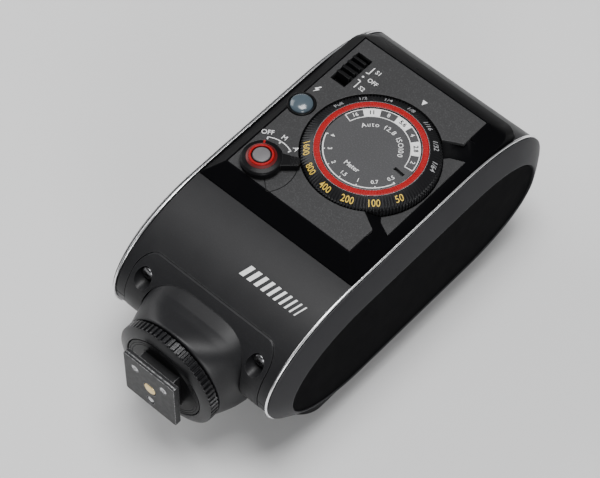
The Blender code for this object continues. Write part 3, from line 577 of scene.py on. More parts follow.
def lettering(text, size, bold):
    """Draw one line of text as a thin slab round the origin."""
    curve = bpy.data.curves.new("print", "FONT")
    curve.body = text
    curve.size = size
    curve.align_x = "CENTER"
    curve.align_y = "CENTER"
    curve.offset = bold * size
    curve.extrude = 0.02
    curve.resolution_u = 3
    item = bpy.data.objects.new("print", curve)
    bpy.context.scene.collection.objects.link(item)
    bpy.context.view_layer.update()
    graph = bpy.context.evaluated_depsgraph_get()
    mesh = bpy.data.meshes.new_from_object(item.evaluated_get(graph))
    bpy.data.objects.remove(item, do_unlink=True)
    return mesh


def stamp(marks, text, size, centre, angle, height, bold=0.008):
    """Add a printed text, turned by angle in degrees, to a mesh of marks."""
    mesh = lettering(text, size, bold)
    turn = Matrix.Rotation(math.radians(angle), 4, "Z")
    mesh.transform(Matrix.Translation((centre[0], centre[1], height)) @ turn)
    marks.from_mesh(mesh)
    bpy.data.meshes.remove(mesh)


def flat_mark(marks, outline, height, thickness=0.03):
    """Add a flat printed shape to a mesh of marks."""
    loops = [[marks.verts.new((x, y, z)) for x, y in outline] for z in (height, height + thickness)]
    low, high = loops
    marks.faces.new(low)
    marks.faces.new(high)
    for index in range(len(outline)):
        following = (index + 1) % len(outline)
        marks.faces.new((low[index], low[following], high[following], high[index]))


def sector(centre, inner, outer, start, end, steps=12):
    """List the outline of a ring sector."""
    return arc(centre, outer, start, end, steps) + arc(centre, inner, end, start, steps)


def bar(centre, angle, near, far, width):
    """List a short bar's outline along a direction from a centre."""
    along = Vector((math.cos(math.radians(angle)), math.sin(math.radians(angle))))
    across = Vector((-along.y, along.x)) * width / 2
    origin = Vector(centre[:2])
    corners = ((near, -1.0), (far, -1.0), (far, 1.0), (near, 1.0))
    return [tuple(origin + along * reach + across * side) for reach, side in corners]


def bar_between(start, end, width):
    """List a straight bar's corners between two points."""
    start = Vector(start[:2])
    end = Vector(end[:2])
    side = (end - start).normalized().orthogonal() * width / 2
    return [start + side, start - side, end - side, end + side]


def polar(centre, radius, angle):
    """Give the point at a radius and an angle in degrees from a centre."""
    turn = math.radians(angle)
    return (centre[0] + radius * math.cos(turn), centre[1] + radius * math.sin(turn))


def letter_advance(letter, size):
    """Give how far a letter moves the next one along."""
    if letter == " ":
        return 0.55 * size
    mesh = lettering(letter, size, 0.0)
    across = [vertex.co.x for vertex in mesh.vertices]
    bpy.data.meshes.remove(mesh)
    return max(across) - min(across) + 0.17 * size


def arc_text(marks, text, size, centre, radius, middle_angle, height):
    """Set a short text along an arc with its tops outwards, letter by letter."""
    advances = [letter_advance(letter, size) for letter in text]
    along = -sum(advances) / 2
    for letter, advance in zip(text, advances):
        angle = middle_angle - math.degrees((along + advance / 2) / radius)
        along += advance
        if letter != " ":
            stamp(marks, letter, size, polar(centre, radius, angle), angle - 90.0, height, 0.0)


# --------------------------------------------------------------- body pieces

def neck_loop(y, half_width, half_height, power, grow=0.0):
    """List one cross-section of the neck at y."""
    loop = []
    for step in range(NECK_STEPS):
        angle = math.tau * step / NECK_STEPS
        x = (half_width + grow) * power_curve(math.cos(angle), power)
        z = (half_height + grow) * power_curve(math.sin(angle), power)
        loop.append((x, y, WHEEL.z + z))
    return loop


def neck_opening():
    """Make a cutter for the hole that the neck passes through."""
    return shape("neck_opening", skin([neck_loop(y, *NECK_SECTION, NECK_GAP) for y in SHOE_END]))


def saddle_outline(grow):
    """List the saddle's outline (x, z), grown on every side."""
    low = (SADDLE_LOW.x - grow, SADDLE_LOW.z - grow)
    high = (SADDLE_HIGH.x + grow, SADDLE_HIGH.z + grow)
    return rounded_rectangle(low, high, SADDLE_CORNER + grow)


def scallop_line(x, edge, slope):
    """Give a scallop edge's distance from the dial's centre line at x."""
    return edge + slope * (x - DIAL.x)


def panel_outline(grow):
    """List the panel's outline (x, y), with its two scallop edges."""
    far_x = PANEL_HIGH.x + grow
    near = scallop_line(SCALLOP_START, *SCALLOP_RIM) - grow
    far = scallop_line(far_x, *SCALLOP_RIM) - grow
    left = PANEL_LOW.x - grow
    low = PANEL_LOW.y - grow
    high = PANEL_HIGH.y + grow
    return [
        (left, low),
        (far_x, low),
        (far_x, DIAL.y - far),
        (SCALLOP_START, DIAL.y - near),
        (SCALLOP_START, DIAL.y + near),
        (far_x, DIAL.y + far),
        (far_x, high),
        (left, high),
    ]


def scallop_cutter():
    """Make a cutter for the thumb scallop with its two sloping side walls."""
    top_z = PANEL_Z + 1.5
    reach = (top_z - SCALLOP_Z) / (PANEL_Z - SCALLOP_Z)
    points = []
    for x in (FLOOR_START, 31.0):
        floor = scallop_line(x, *SCALLOP_FLOOR)
        rim = scallop_line(x, *SCALLOP_RIM)
        top = floor + (rim - floor) * reach
        for side in (-1.0, 1.0):
            points.append((x, DIAL.y + side * floor, SCALLOP_Z - 0.8))
            points.append((x, DIAL.y + side * floor, SCALLOP_Z))
            points.append((x, DIAL.y + side * top, top_z))
    return hull("scallop_cutter", points)


def plinth():
    """Make the raised plinth with its sloping sides and rounded edges."""
    rim_x = PANEL_HIGH.x + PLINTH_RIM
    near_rim = PANEL_LOW.y - PLINTH_RIM
    far_rim = PANEL_HIGH.y + PLINTH_RIM
    drop = PANEL_Z - PLINTH_FOOT
    slope = ((drop, PLINTH_FOOT), (8.8, PANEL_Z - 8.8), (10.2, PANEL_Z - 12.4), (10.2, PLINTH_ROOT))
    points = []
    for sign in (-1.0, 1.0):
        points.append((sign * rim_x, near_rim, PANEL_Z))
        points.append((sign * rim_x, far_rim, PANEL_Z))
        points.append((sign * SHELL_HALF, near_rim - drop, PLINTH_FOOT))
        for reach, level in slope:
            centre = (SHELL_HALF - FAR_CORNER, far_rim + reach - FAR_CORNER)
            for x, y in arc(centre, FAR_CORNER, 0.0, 90.0, 6):
                points.append((sign * x, y, level))
        points.append((sign * SHELL_HALF, near_rim - drop, PLINTH_ROOT))
    return soften(hull("plinth", points), 0.25, 3, 20.0)


def half_shell(name, low, high):
    """Make the hollow body between two heights, open at the shoe end."""
    item = prism(name, oval(SHELL_INSET), "x", -SHELL_HALF, SHELL_HALF)
    combine(item, prism("inner", oval(SHELL_INSET + SHELL_WALL), "x", *ACROSS))
    combine(item, prism("saddle_gap", saddle_outline(0.25), "y", *SHOE_END))
    combine(item, neck_opening())
    return combine(item, block("half", (-WIDE, -LONG, low), (WIDE, LONG, high)), "INTERSECT")


def shells():
    """Make the back shell, its plinth and the front shell."""
    back = half_shell("back_shell", BODY_MID + HALF_GAP, ABOVE)
    combine(back, block("plinth_gap", (-20.0, 8.0, 40.0), (18.0, 34.0, ABOVE)))
    dress(back, SHELL, "rear_shell")
    raised = plinth()
    combine(raised, prism("under", oval(SHELL_INSET + 0.6), "x", *ACROSS))
    combine(raised, prism("pocket", panel_outline(0.15), "z", PANEL_Z - 1.3, ABOVE))
    combine(raised, scallop_cutter())
    drill(raised, DIAL, WELL_RADIUS, 52.3, ABOVE, 128)
    drill(raised, BUTTON, BUTTON_BORE, 52.8, ABOVE, 64)
    low = (SWITCH.x - 3.5, SWITCH.y - 7.0, 52.1)
    high = (SWITCH.x + 3.5, SWITCH.y + 7.0, ABOVE)
    combine(raised, block("switch_pocket", low, high))
    dress(raised, PLINTH)
    front = half_shell("front_half", BELOW, BODY_MID - HALF_GAP)
    drill(front, LAMP, 11.5, 0.0, 20.0, 64)
    for screw in COVER_SCREWS:
        drill(front, middle(screw), SCREW_HOLE, 5.0, 17.5, 24)
    dress(front, SHELL, "front_shell")


def sides():
    """Make the bevelled cheeks, the bright edge bands and the oval inlays."""
    cheek = [(29.7, 5.6), (28.65, 3.4), (28.65, 0.3), (28.72, 0.2), (28.85, 0.2), (29.05, 0.4)]
    cheek += [(29.4, 0.95), (30.0, 1.98), (30.6, 3.08), (31.1, 4.05), (31.5, 4.9), (31.78, 5.5)]
    cheek += [(31.95, 5.88), (32.04, 6.12), (32.05, 6.24), (32.02, 6.36), (31.93, 6.46)]
    cheek += [(31.8, 6.52), (31.2, 6.6)]
    trim = [(27.75, 2.4), (27.75, -0.02), (27.93, -TRIM_LIP), (28.32, -TRIM_LIP), (28.5, -0.02)]
    trim = fillet(trim + [(28.5, 2.4)], 0.4, 5)
    inlay = [(31.25, 6.95), (31.62, 6.82), (31.7, 7.02), (31.62, 7.5), (31.58, 8.3)]
    for name, side in (("left", -1.0), ("right", 1.0)):
        item = shape(name + "_cheek_bulge", skin(oval_loops(cheek, side, CHEEK_FLATTEN)))
        dress(item, CHEEK, name + "_cheek", sharp=50.0)
        band = shape(name + "_edge_band", skin(oval_loops(trim, side), closed=True))
        dress(band, CHROME, name + "_trim", sharp=60.0)
        face = shape(name + "_oval_face", skin(oval_loops(inlay, side, CHEEK_FLATTEN)))
        dress(face, INLAY, name + "_side_inlay", sharp=50.0)


def panel():
    """Make the sand-textured panel with its holes and the lever's sector line."""
    plate = prism("panel_plate", panel_outline(0.0), "z", PANEL_LOW.z, PANEL_Z)
    drill(plate, DIAL, WELL_RADIUS, UNDER_PANEL, ABOVE, 128)
    drill(plate, LEVER, LEVER_HOLE, UNDER_PANEL, ABOVE, 32)
    drill(plate, BUTTON, BUTTON_BORE, UNDER_PANEL, ABOVE, 64)
    low = (SWITCH.x - 2.55, SWITCH.y - 6.0, UNDER_PANEL)
    high = (SWITCH.x + 2.55, SWITCH.y + 6.0, ABOVE)
    combine(plate, block("switch_hole", low, high))
    soften(plate, 0.18, 2)
    dress(plate, PANEL, "control_panel")
    joint = bar_between(polar(LEVER, 9.65, -40.0), polar(LEVER, 9.96, -36.3), 0.22)
    lines = bmesh.new()
    for outline in (sector(LEVER, 9.82, 10.1, -36.5, 30.0, 40), bar(LEVER, -40.0, 5.9, 9.7, 0.28), joint):
        flat_mark(lines, outline, MARK_Z, 0.02)
    dress(shape("lever_sector_line", lines), MOULDED)


def scallop():
    """Make the sunk floor of the thumb scallop."""
    low, high = span("scallop_plate")
    near = scallop_line(low.x, *SCALLOP_FLOOR) - 0.15
    far = scallop_line(high.x, *SCALLOP_FLOOR) - 0.15
    outline = [(FLOOR_START, DIAL.y - near), (high.x, DIAL.y - far), (high.x, DIAL.y + far)]
    outline.append((FLOOR_START, DIAL.y + near))
    floor_plate = prism("scallop_floor", outline, "z", low.z, high.z)
    drill(floor_plate, DIAL, WELL_RADIUS, UNDER_PANEL, ABOVE, 128)
    soften(floor_plate, 0.1, 2)
    dress(floor_plate, PANEL, "scallop_plate")


def panel_marks():
    """Print the index, the legends and the lightning mark on the panel."""
    marks = bmesh.new()
    flat_mark(marks, [(4.05, 41.3), (5.65, 41.3), (4.85, 39.6)], MARK_Z)
    for text, angle in (("OFF", 123.0), ("M", 95.0), ("A", 67.5)):
        stamp(marks, text, 2.1, polar(LEVER, 10.3, angle), angle - 90.0, MARK_Z)
    flat_mark(marks, sector(LEVER, 8.6, 8.9, 67.0, 121.5, 24), MARK_Z)
    for angle in (67.5, 95.0, 121.0):
        flat_mark(marks, bar(LEVER, angle, 7.9, 8.8, 0.35), MARK_Z)
    left = SWITCH.x + 4.0
    for text, x, y in (("S1", 2.6, 3.9), ("OFF", 3.4, 0.4), ("S2", 2.6, -3.3)):
        stamp(marks, text, 1.9, (left + x, SWITCH.y + y), 0.0, MARK_Z)
    flat_mark(marks, circle((left + 0.1, SWITCH.y + 0.2), 0.32, 16), MARK_Z)
    x = left + 0.45
    for start, end, foot_y in ((1.9, 4.7, 1.9), (-4.3, -1.4, -1.4)):
        flat_mark(marks, rectangle((x, SWITCH.y + start), (x + 0.3, SWITCH.y + end)), MARK_Z)
        low = (x - 0.8, SWITCH.y + foot_y - 0.15)
        flat_mark(marks, rectangle(low, (x, SWITCH.y + foot_y + 0.15)), MARK_Z)
    bolt = [(0.25, 1.35), (-0.75, -0.15), (-0.08, -0.15), (-0.4, -1.35), (0.75, 0.3), (0.05, 0.3)]
    bolt.append((0.65, 1.35))
    flat_mark(marks, [(BUTTON.x - 0.2 + x, BUTTON.y + 6.6 + y) for x, y in bolt], MARK_Z)
    dress(shape("panel_marks", marks), WHITE)


def ornament():
    """Print a row of plain slanted bars on the curved lower back."""
    near, far, slant, gap = -31.2, -27.6, 1.3, 1.15
    start_z = thickness = 35.0
    marks = bmesh.new()
    x = 1.6
    for index in range(10):
        end = x + 1.5 - 0.12 * index
        outline = [(x, near), (end, near), (end + slant, far), (x + slant, far)]
        flat_mark(marks, outline, start_z, thickness)
        x = end + gap
    item = shape("plain_bars", marks)
    combine(item, prism("skin", oval(SHELL_INSET - 0.03), "x", *ACROSS), "INTERSECT")
    combine(item, prism("under", oval(SHELL_INSET + 0.05), "x", *ACROSS))
    dress(item, WHITE)


# ------------------------------------------------------------------ controls

def cone_height(radius):
    """Give the height of the dial ring's sloping top at a radius."""
    rim = DIAL_RADIUS - 0.4
    return PANEL_Z + (RED_TOP - PANEL_Z) * (rim - radius) / (rim - RING_BORE)


def tilt_marks(marks):
    """Lay flat marks onto the dial ring's sloping top."""
    for vertex in marks.verts:
        radius = math.hypot(vertex.co.x - DIAL.x, vertex.co.y - DIAL.y)
        vertex.co.z += cone_height(radius)


def dial_ring():
    """Make the knurled ring, whose top is a shallow cone."""
    rim = DIAL_RADIUS
    profile = [(3.0, DIAL_FLOOR), (rim - 0.35, DIAL_FLOOR), (rim, DIAL_FLOOR + 0.3, 0.36)]
    profile += [(rim, DIAL_FLOOR + 0.6, 0.36), (rim, PANEL_Z - 0.9, 0.38), (rim, PANEL_Z - 0.45, 0.38)]
    profile += [(rim - 0.12, PANEL_Z - 0.15, 0.34), (rim - 0.4, PANEL_Z + 0.03, 0.32)]
    profile += [(rim - 0.8, cone_height(rim - 0.8)), (RING_BORE + 0.1, cone_height(RING_BORE + 0.1))]
    profile += [(RING_BORE, cone_height(RING_BORE) - 0.15), (RING_BORE, RING_SEAT), (3.0, RING_SEAT)]
    ring = turned("dial_knurled_ring", profile, DIAL, 1040, ribs=130)
    dress(ring, ANODISED, "dial_ring", body="dial", sharp=40.0)


def red_ring():
    """Make the red ring with its lips, its radial grooves and two bright lines."""
    profile = [(RED_INNER, RED_SEAT), (RED_OUTER, RED_SEAT), (RED_OUTER, RED_TOP - 0.1)]
    profile += [(RED_OUTER - 0.12, RED_TOP + 0.1), (RED_OUTER - 0.35, RED_TOP + 0.2)]
    profile += [(RED_OUTER - 0.45, RED_TOP + 0.12), (RED_INNER + 0.45, RED_TOP + 0.12)]
    profile += [(RED_INNER + 0.35, RED_TOP + 0.2), (RED_INNER + 0.12, RED_TOP + 0.1)]
    profile.append((RED_INNER, RED_TOP - 0.1))
    ring = turned("dial_bright_red_ring", profile, DIAL, GROOVE_STEPS)
    for vertex in ring.data.vertices:
        x = vertex.co.x / MM - DIAL.x
        y = vertex.co.y / MM - DIAL.y
        step = round(math.atan2(y, x) / math.tau * GROOVE_STEPS)
        flat = vertex.co.z / MM > RED_TOP + 0.11 and math.hypot(x, y) < RED_OUTER - 0.4
        if flat and step % 4 == 0:
            vertex.co.z -= 0.10 * MM
    dress(ring, RED, "dial_red_ring", body="dial", sharp=25.0)
    for name, radius in (("outer", RED_OUTER - 0.02), ("inner", RED_INNER - 0.12)):
        edge = rectangle((radius, RED_TOP - 0.4), (radius + 0.14, RED_TOP + 0.04))
        line = turned("red_ring_%s_line" % name, edge, DIAL, 160)
        dress(line, STEEL, body="dial")


def disc():
    """Make the fixed disc with its slot."""
    profile = [(0.0, DISC_SEAT), (DISC_RADIUS, DISC_SEAT), (DISC_RADIUS, DIAL_TOP - 0.15)]
    profile += [(DISC_RADIUS - 0.05, DIAL_TOP - 0.05), (DISC_RADIUS - 0.15, DIAL_TOP), (0.0, DIAL_TOP)]
    face = turned("disc_face", profile, DIAL, 160)
    combine(face, prism("slot", bar(DIAL, -5.0, 9.0, 12.5, 1.05), "z", DIAL_TOP - 1.3, ABOVE))
    dress(face, DISC, "dial_disc")


def ring_scale(name, labels, size, radius, start, pitch, turn, bold, material):
    """Print one scale on the turning ring."""
    marks = bmesh.new()
    for index, label in enumerate(labels):
        angle = start + pitch * index
        stamp(marks, label, size, polar(DIAL, radius, angle), angle + turn, MARK_LIFT, bold)
    tilt_marks(marks)
    dress(shape(name, marks), material, body="dial")


def aperture_blocks(light, dark):
    """Print the band of apertures, every second one dark on a light block."""
    inner, outer = 10.9, 13.25
    first, pitch = 18.5, 22.3
    height = DIAL_TOP + MARK_LIFT
    for index, label in enumerate(("2", "2.8", "4", "5.6", "8", "11", "16")):
        angle = first + pitch * index
        target, bold = light, 0.004
        if index % 2:
            flat_mark(light, sector(DIAL, inner, outer, angle - pitch / 2, angle + pitch / 2), height)
            target, bold = dark, 0.03
        stamp(target, label, 1.8, polar(DIAL, 12.08, angle), angle - 90.0, height + 0.03, bold)
    low, high = first - pitch / 2, first + pitch * 6.5
    flat_mark(light, sector(DIAL, outer - 0.02, outer + 0.22, low, high, 80), height)
    flat_mark(light, sector(DIAL, inner - 0.22, inner + 0.02, low, high, 80), height)
    for angle in (low, high):
        flat_mark(light, bar(DIAL, angle, inner - 0.2, outer + 0.2, 0.25), height)


def dial_marks():
    """Print the two scales on the turning ring and the scales on the disc."""
    powers = ("1/64", "1/32", "1/16", "1/8", "1/4", "1/2", "Full")
    # The white power scale is printed grey, as painted shade.
    ring_scale("ring_white_scale", powers, 2.0, 17.65, 24.0, 22.9, -90.0, 0.008, SHADED_PRINT)
    speeds = ("50", "100", "200", "400", "800", "1600")
    ring_scale("ring_yellow_scale", speeds, 2.5, 17.7, -23.5, -23.4, 90.0, 0.004, YELLOW)
    light = bmesh.new()
    dark = bmesh.new()
    aperture_blocks(light, dark)
    height = DIAL_TOP + MARK_LIFT
    flat_mark(light, sector(DIAL, 13.05, 13.35, -161.0, -20.0, 80), height)
    ranges = (("4", -161.0), ("3", -138.0), ("2", -114.0), ("1.5", -90.5), ("1", -67.5),
              ("0.7", -44.5), ("0.5", -21.0))
    for label, angle in ranges:
        stamp(light, label, 1.7, polar(DIAL, 11.3, angle), angle + 90.0, height)
        flat_mark(light, bar(DIAL, angle, 12.6, 13.1, 0.28), height)
    arc_text(light, "Auto f2.8 ISO100", 2.1, DIAL, 8.0, 86.0, height)
    stamp(light, "Meter", 2.0, (DIAL.x, DIAL.y - 8.1), 0.0, height)
    dress(shape("disc_white_scale", light), WHITE)
    dress(shape("disc_dark_numbers", dark), MOULDED)


def lever_hub(base, top):
    """Make the lever's hub with its ribbed arm."""
    profile = [(0.0, base), (5.85, base), (5.95, base + 0.3), (5.95, base + 2.0), (5.55, base + 2.4)]
    profile += [(4.2, top), (0.0, top)]
    hub = turned("lever_hub", fillet(profile, 0.22, 4, closed=False), LEVER, 160)
    outline = bar(LEVER, ARM_ANGLE, 3.0, 10.6, 2.6)
    outline[0] = polar(LEVER, 5.0, ARM_ANGLE - 27.0)
    outline[3] = polar(LEVER, 5.0, ARM_ANGLE + 27.0)
    arm = prism("arm", fillet(outline, 0.6), "z", base, base + 2.3)
    combine(hub, soften(arm, 0.25, 3), "UNION")
    for reach in (8.0, 8.8, 9.6):
        groove = bar(LEVER, ARM_ANGLE, reach, reach + 0.3, 6.0)
        combine(hub, prism("groove", groove, "z", base + 2.0, ABOVE))
    dress(hub, MOULDED, "mode_lever", body="lever")


def lever_index(top):
    """Print the red index line down the hub's sloping edge."""
    marks = bmesh.new()
    for inner, outer in ((4.28, 5.45), (5.45, 5.72)):
        corners = ((inner, 120.0), (outer, 120.5), (outer, 126.5), (inner, 127.0))
        flat_mark(marks, [polar(LEVER, reach, angle) for reach, angle in corners], 0.02)
    for vertex in marks.verts:
        radius = math.hypot(vertex.co.x - LEVER.x, vertex.co.y - LEVER.y)
        vertex.co.z += top - max(0.0, radius - 4.2) * 0.26 - max(0.0, radius - 5.45) * 0.5
    dress(shape("lever_index", marks), RED, body="lever")


def lever():
    """Make the mode lever's hub, red ring, cap and index line."""
    base = PANEL_Z + 0.25
    top = base + 2.75
    lever_hub(base, top)
    high = span("lever_red_ring")[1].z
    profile = [(2.85, top + 0.08), (2.85, high - 0.2), (2.98, high), (3.35, high)]
    profile += [(3.5, high - 0.15), (3.62, top + 0.35), (3.65, top + 0.08)]
    ring = turned("lever_red_cone", fillet(profile, 0.08, 2), LEVER, 128)
    dress(ring, RED, "lever_red_ring", body="lever", sharp=40.0)
    profile = [(3.68, top + 0.42), (4.3, top + 0.02), (4.3, top - 0.08), (3.68, top + 0.04)]
    slope = turned("lever_red_slope", profile, LEVER, 128)
    # The slope's darker red is painted shade.
    dress(slope, RED_SHADED, body="lever")
    low, high = span("lever_cap")
    profile = [(0.0, low.z), (2.45, low.z), (2.45, high.z - 0.25), (2.3, high.z - 0.06)]
    profile += [(2.05, high.z), (0.0, high.z)]
    cap = turned("lever_grey_cap", profile, LEVER, 96)
    dress(cap, GREY, "lever_cap", body="lever")
    lever_index(top)


def button():
    """Make the translucent dome button and its bezel."""
    high = span("test_button")[1].z
    radius = 3.3
    profile = [(0.0, DISC_SEAT), (radius, DISC_SEAT)]
    for step in range(12):
        angle = math.radians(90.0 * step / 12)
        profile.append((radius * math.cos(angle), PANEL_Z + (high - PANEL_Z) * math.sin(angle)))
    profile.append((0.0, high))
    item = turned("button_dome", profile, BUTTON, 96)
    dress(item, SMOKE, "test_button", body="button")
    profile = [(3.5, 53.0), (4.0, 53.0), (4.0, 56.12), (3.88, 56.28), (3.62, 56.28), (3.5, 56.15)]
    ring = turned("button_ring", fillet(profile, 0.06, 2), BUTTON, 96)
    dress(ring, MOULDED, "button_bezel", sharp=45.0)


def switch():
    """Make the ribbed slide switch and its well."""
    wall = 0.7
    low, high = span("switch_well")
    well = block("switch_frame", low, high)
    space = block("space", (low.x + wall, low.y + wall, SWITCH_FLOOR), (high.x - wall, high.y - wall, ABOVE))
    combine(well, space)
    dress(well, MOULDED, "switch_well")
    low, high = span("switch_knob")
    pitch = (high.y - low.y) / 7
    outline = [(low.y, 53.5), (high.y, 53.5)]
    for index in (3, 2, 1, 0):
        start = low.y + 2 * index * pitch
        outline += [(start + pitch, 55.4), (start + pitch * 0.86, high.z)]
        outline += [(start + pitch * 0.14, high.z), (start, 55.4)]
    knob = prism("switch_ribs", outline, "x", low.x, high.x)
    soften(knob, 0.12, 2)
    dress(knob, MOULDED, "switch_knob", body="switch")


# ------------------------------------------------------------------ shoe end

def cross_screw(name, axis, head, steps, start, angle, cross, material=STEEL):
    """Make a screw; cross is its recess's reach, width and depth.

    The cut runs from start, in front of the head, down to its depth.
    """
    reach, width, depth = cross
    point = middle(name)
    centre = (point.x, point.y if axis == "z" else point.z)
    item = turned(name + "_head", head, centre, steps, axis)
    for turn in (angle, angle + 90.0):
        outline = bar(centre, turn, -reach, reach, width)
        combine(item, prism("cross", outline, axis, start, head[0][1] + depth))
    dress(item, material, name)


def saddle():
    """Make the saddle across the nose, with its recessed cross-head screws."""
    item = prism("saddle_piece", saddle_outline(0.0), "y", SHOE_END[0], SADDLE_HIGH.y)
    combine(item, prism("nose", oval(SHELL_INSET - 0.1), "x", *ACROSS), "INTERSECT")
    combine(item, neck_opening())
    for name in ("saddle_screw_left", "saddle_screw_right"):
        face = span(name)[0].y
        centre = (middle(name).x, middle(name).z)
        drill(item, centre, 2.7, SHOE_END[0], face + 1.6, 48, "y")
        head = [(0.0, face), (1.5, face + 0.03), (2.05, face + 0.22), (2.3, face + 0.6)]
        head += [(2.3, face + 1.5), (1.1, face + 1.5), (1.1, span(name)[1].y), (0.0, span(name)[1].y)]
        cross_screw(name, "y", head, 48, SHOE_END[0], 20.0, (1.3, 0.5, 0.9), DARK_STEEL)
    soften(item, 0.12, 2, 40.0)
    dress(item, SHELL, "shoe_saddle")


def neck():
    """Make the thick barrel that blends from round to square."""
    front = span("neck_barrel")[0].y
    rear = span("neck_barrel")[1].y
    bore = (9.6, 9.6, 2.0)
    sections = (
        (front, 16.5, 16.5, 2.0),
        (front + 0.15, 16.8, 16.8, 2.0),
        (front + 0.5, 16.92, 16.92, 2.05),
        (-52.3, 17.4, 16.25, 2.55),
        (-49.2, 18.0, 15.45, 3.15),
        (-46.0, *NECK_SECTION),
        (rear, *NECK_SECTION),
    )
    loops = []
    for first, second in zip(sections, sections[1:]):
        steps = 1 if second[0] - first[0] < 1.0 else 5
        for step in range(steps):
            share = step / steps
            loops.append(neck_loop(*(a + (b - a) * share for a, b in zip(first, second))))
    loops.append(neck_loop(*sections[-1]))
    loops.append(neck_loop(rear, *bore))
    loops.append(neck_loop(front, *bore))
    item = shape("neck_tube", skin(loops, closed=True))
    dress(item, SHELL, "neck_barrel", sharp=45.0)


def lock_wheel():
    """Make the ribbed locking wheel and the pressure plate in its face."""
    low, high = span("locking_ring")
    centre = (WHEEL.x, WHEEL.z)
    radius = WHEEL_RADIUS
    profile = [(9.9, high.y), (radius - 0.9, high.y), (radius - 0.6, high.y - 0.15)]
    profile += [(radius, y, WHEEL_RIB) for y in (high.y - 0.3, high.y - 0.6, -58.3, -58.75)]
    profile += [(radius - 0.15, -58.98), (radius - 0.7, -59.25), (13.9, low.y + 0.02), (13.6, low.y)]
    profile += [(13.4, low.y + 0.15), (13.4, WHEEL_WEB), (9.9, WHEEL_WEB)]
    wheel = turned("lock_wheel_ribbed", profile, centre, 768, "y", 64, 2.2)
    dress(wheel, ANODISED, "locking_ring", body="lock_wheel", sharp=40.0)
    low, high = span("pressure_plate")
    profile = [(0.0, high.y), (13.1, high.y), (13.1, low.y + 0.15), (12.95, low.y)]
    for ring in (12.5, 11.7):
        profile += [(ring, low.y), (ring - 0.08, low.y + 0.12), (ring - 0.2, low.y + 0.12)]
        profile.append((ring - 0.28, low.y))
    profile.append((0.0, low.y))
    plate = turned("clamp_disc", profile, centre, 128, "y")
    combine(plate, block("stem_hole", (-6.5, -70.0, WHEEL.z - 7.3), (6.5, -50.0, WHEEL.z + 7.3)))
    dress(plate, MOULDED, "pressure_plate", body="clamp_plate")


def foot():
    """Make the shoe foot's plate, stem and screws."""
    face = FOOT_LOW.y
    outline = fillet(rectangle((FOOT_LOW.x, FOOT_LOW.z), (FOOT_HIGH.x, FOOT_HIGH.z)), 0.7)
    item = prism("shoe_foot", outline, "y", face, face + 2.0)
    soften(item, 0.2, 2)
    stem = block("stem", (-6.2, face + 1.0, WHEEL.z - 7.0), (6.2, FOOT_HIGH.y, WHEEL.z + 7.0))
    combine(item, stem, "UNION")
    for z in (FOOT_LOW.z, FOOT_HIGH.z):
        combine(item, block("line", (-12.0, face + 0.75, z - 0.15), (12.0, face + 0.95, z + 0.15)))
    contact = middle("contact_pin")
    drill(item, (contact.x, contact.z), 2.3, FOOT_FRONT, -62.4, 48, "y")
    pin = middle("locking_pin")
    drill(item, (pin.x, pin.z), 1.4, FOOT_FRONT, -54.0, 32, "y")
    for name in ("foot_screw_left", "foot_screw_right"):
        low, high = span(name)
        drill(item, (middle(name).x, middle(name).z), 1.3, FOOT_FRONT, high.y + 0.1, 32, "y")
        head = rod_profile(1.15, low.y, high.y, 0.15, 3)
        cross_screw(name, "y", head, 40, FOOT_FRONT, 35.0, (0.7, 0.26, 0.35))
    dress(item, FOOT, "foot_plate")


def foot_pins():
    """Make the domed centre contact and the locking pin."""
    low, high = span("contact_pin")
    profile = [(0.0, low.y)]
    for step in range(1, 9):
        angle = math.radians(90.0 * step / 8)
        profile.append((2.0 * math.sin(angle), low.y + 0.4 * (1.0 - math.cos(angle))))
    profile += [(2.0, high.y), (0.0, high.y)]
    centre = middle("contact_pin")
    disc_item = turned("contact_disc", profile, (centre.x, centre.z), 64, "y")
    dress(disc_item, GOLD, "contact_pin", body="contact")
    low, high = span("locking_pin")
    centre = middle("locking_pin")
    rod = turned("lock_pin_rod", rod_profile(1.1, low.y, high.y, 0.35), (centre.x, centre.z), 40, "y")
    dress(rod, STEEL, "locking_pin", body="lock_pin")


# ---------------------------------------------------------------- front side

def lamp_housing():
    """Make the lamp head's turned bezel and its hub."""
    low, high = span("lamp_bezel")
    profile = [(11.4, low.z), (15.2, low.z), (15.6, low.z + 0.4), (15.6, high.z), (11.4, high.z)]
    bezel = turned("lamp_rim", fillet(profile, 0.12, 3), LAMP, 128)
    brushed = rings_finish("rim_turned", (0.62, 0.62, 0.63), 0.24, LAMP, 0.18, 0.004)
    dress(bezel, brushed, "lamp_bezel", sharp=40.0)
    profile = [(9.6, 1.75), (11.1, 1.75), (11.2, 1.85), (11.2, 15.9), (13.4, 15.9), (13.4, 17.4)]
    profile += [(0.0, 17.4), (0.0, 9.0), (9.6, 9.0)]
    hub = turned("lamp_barrel", profile, LAMP, 96)
    dress(hub, MOULDED, "lamp_hub")


def bowl_curve(radius, low, shares):
    """List a lamp reflector's curve from its rim to its middle."""
    return [(radius * (1.0 - t), low + 4.5 * math.sin(t * math.pi / 2)) for t in shares]


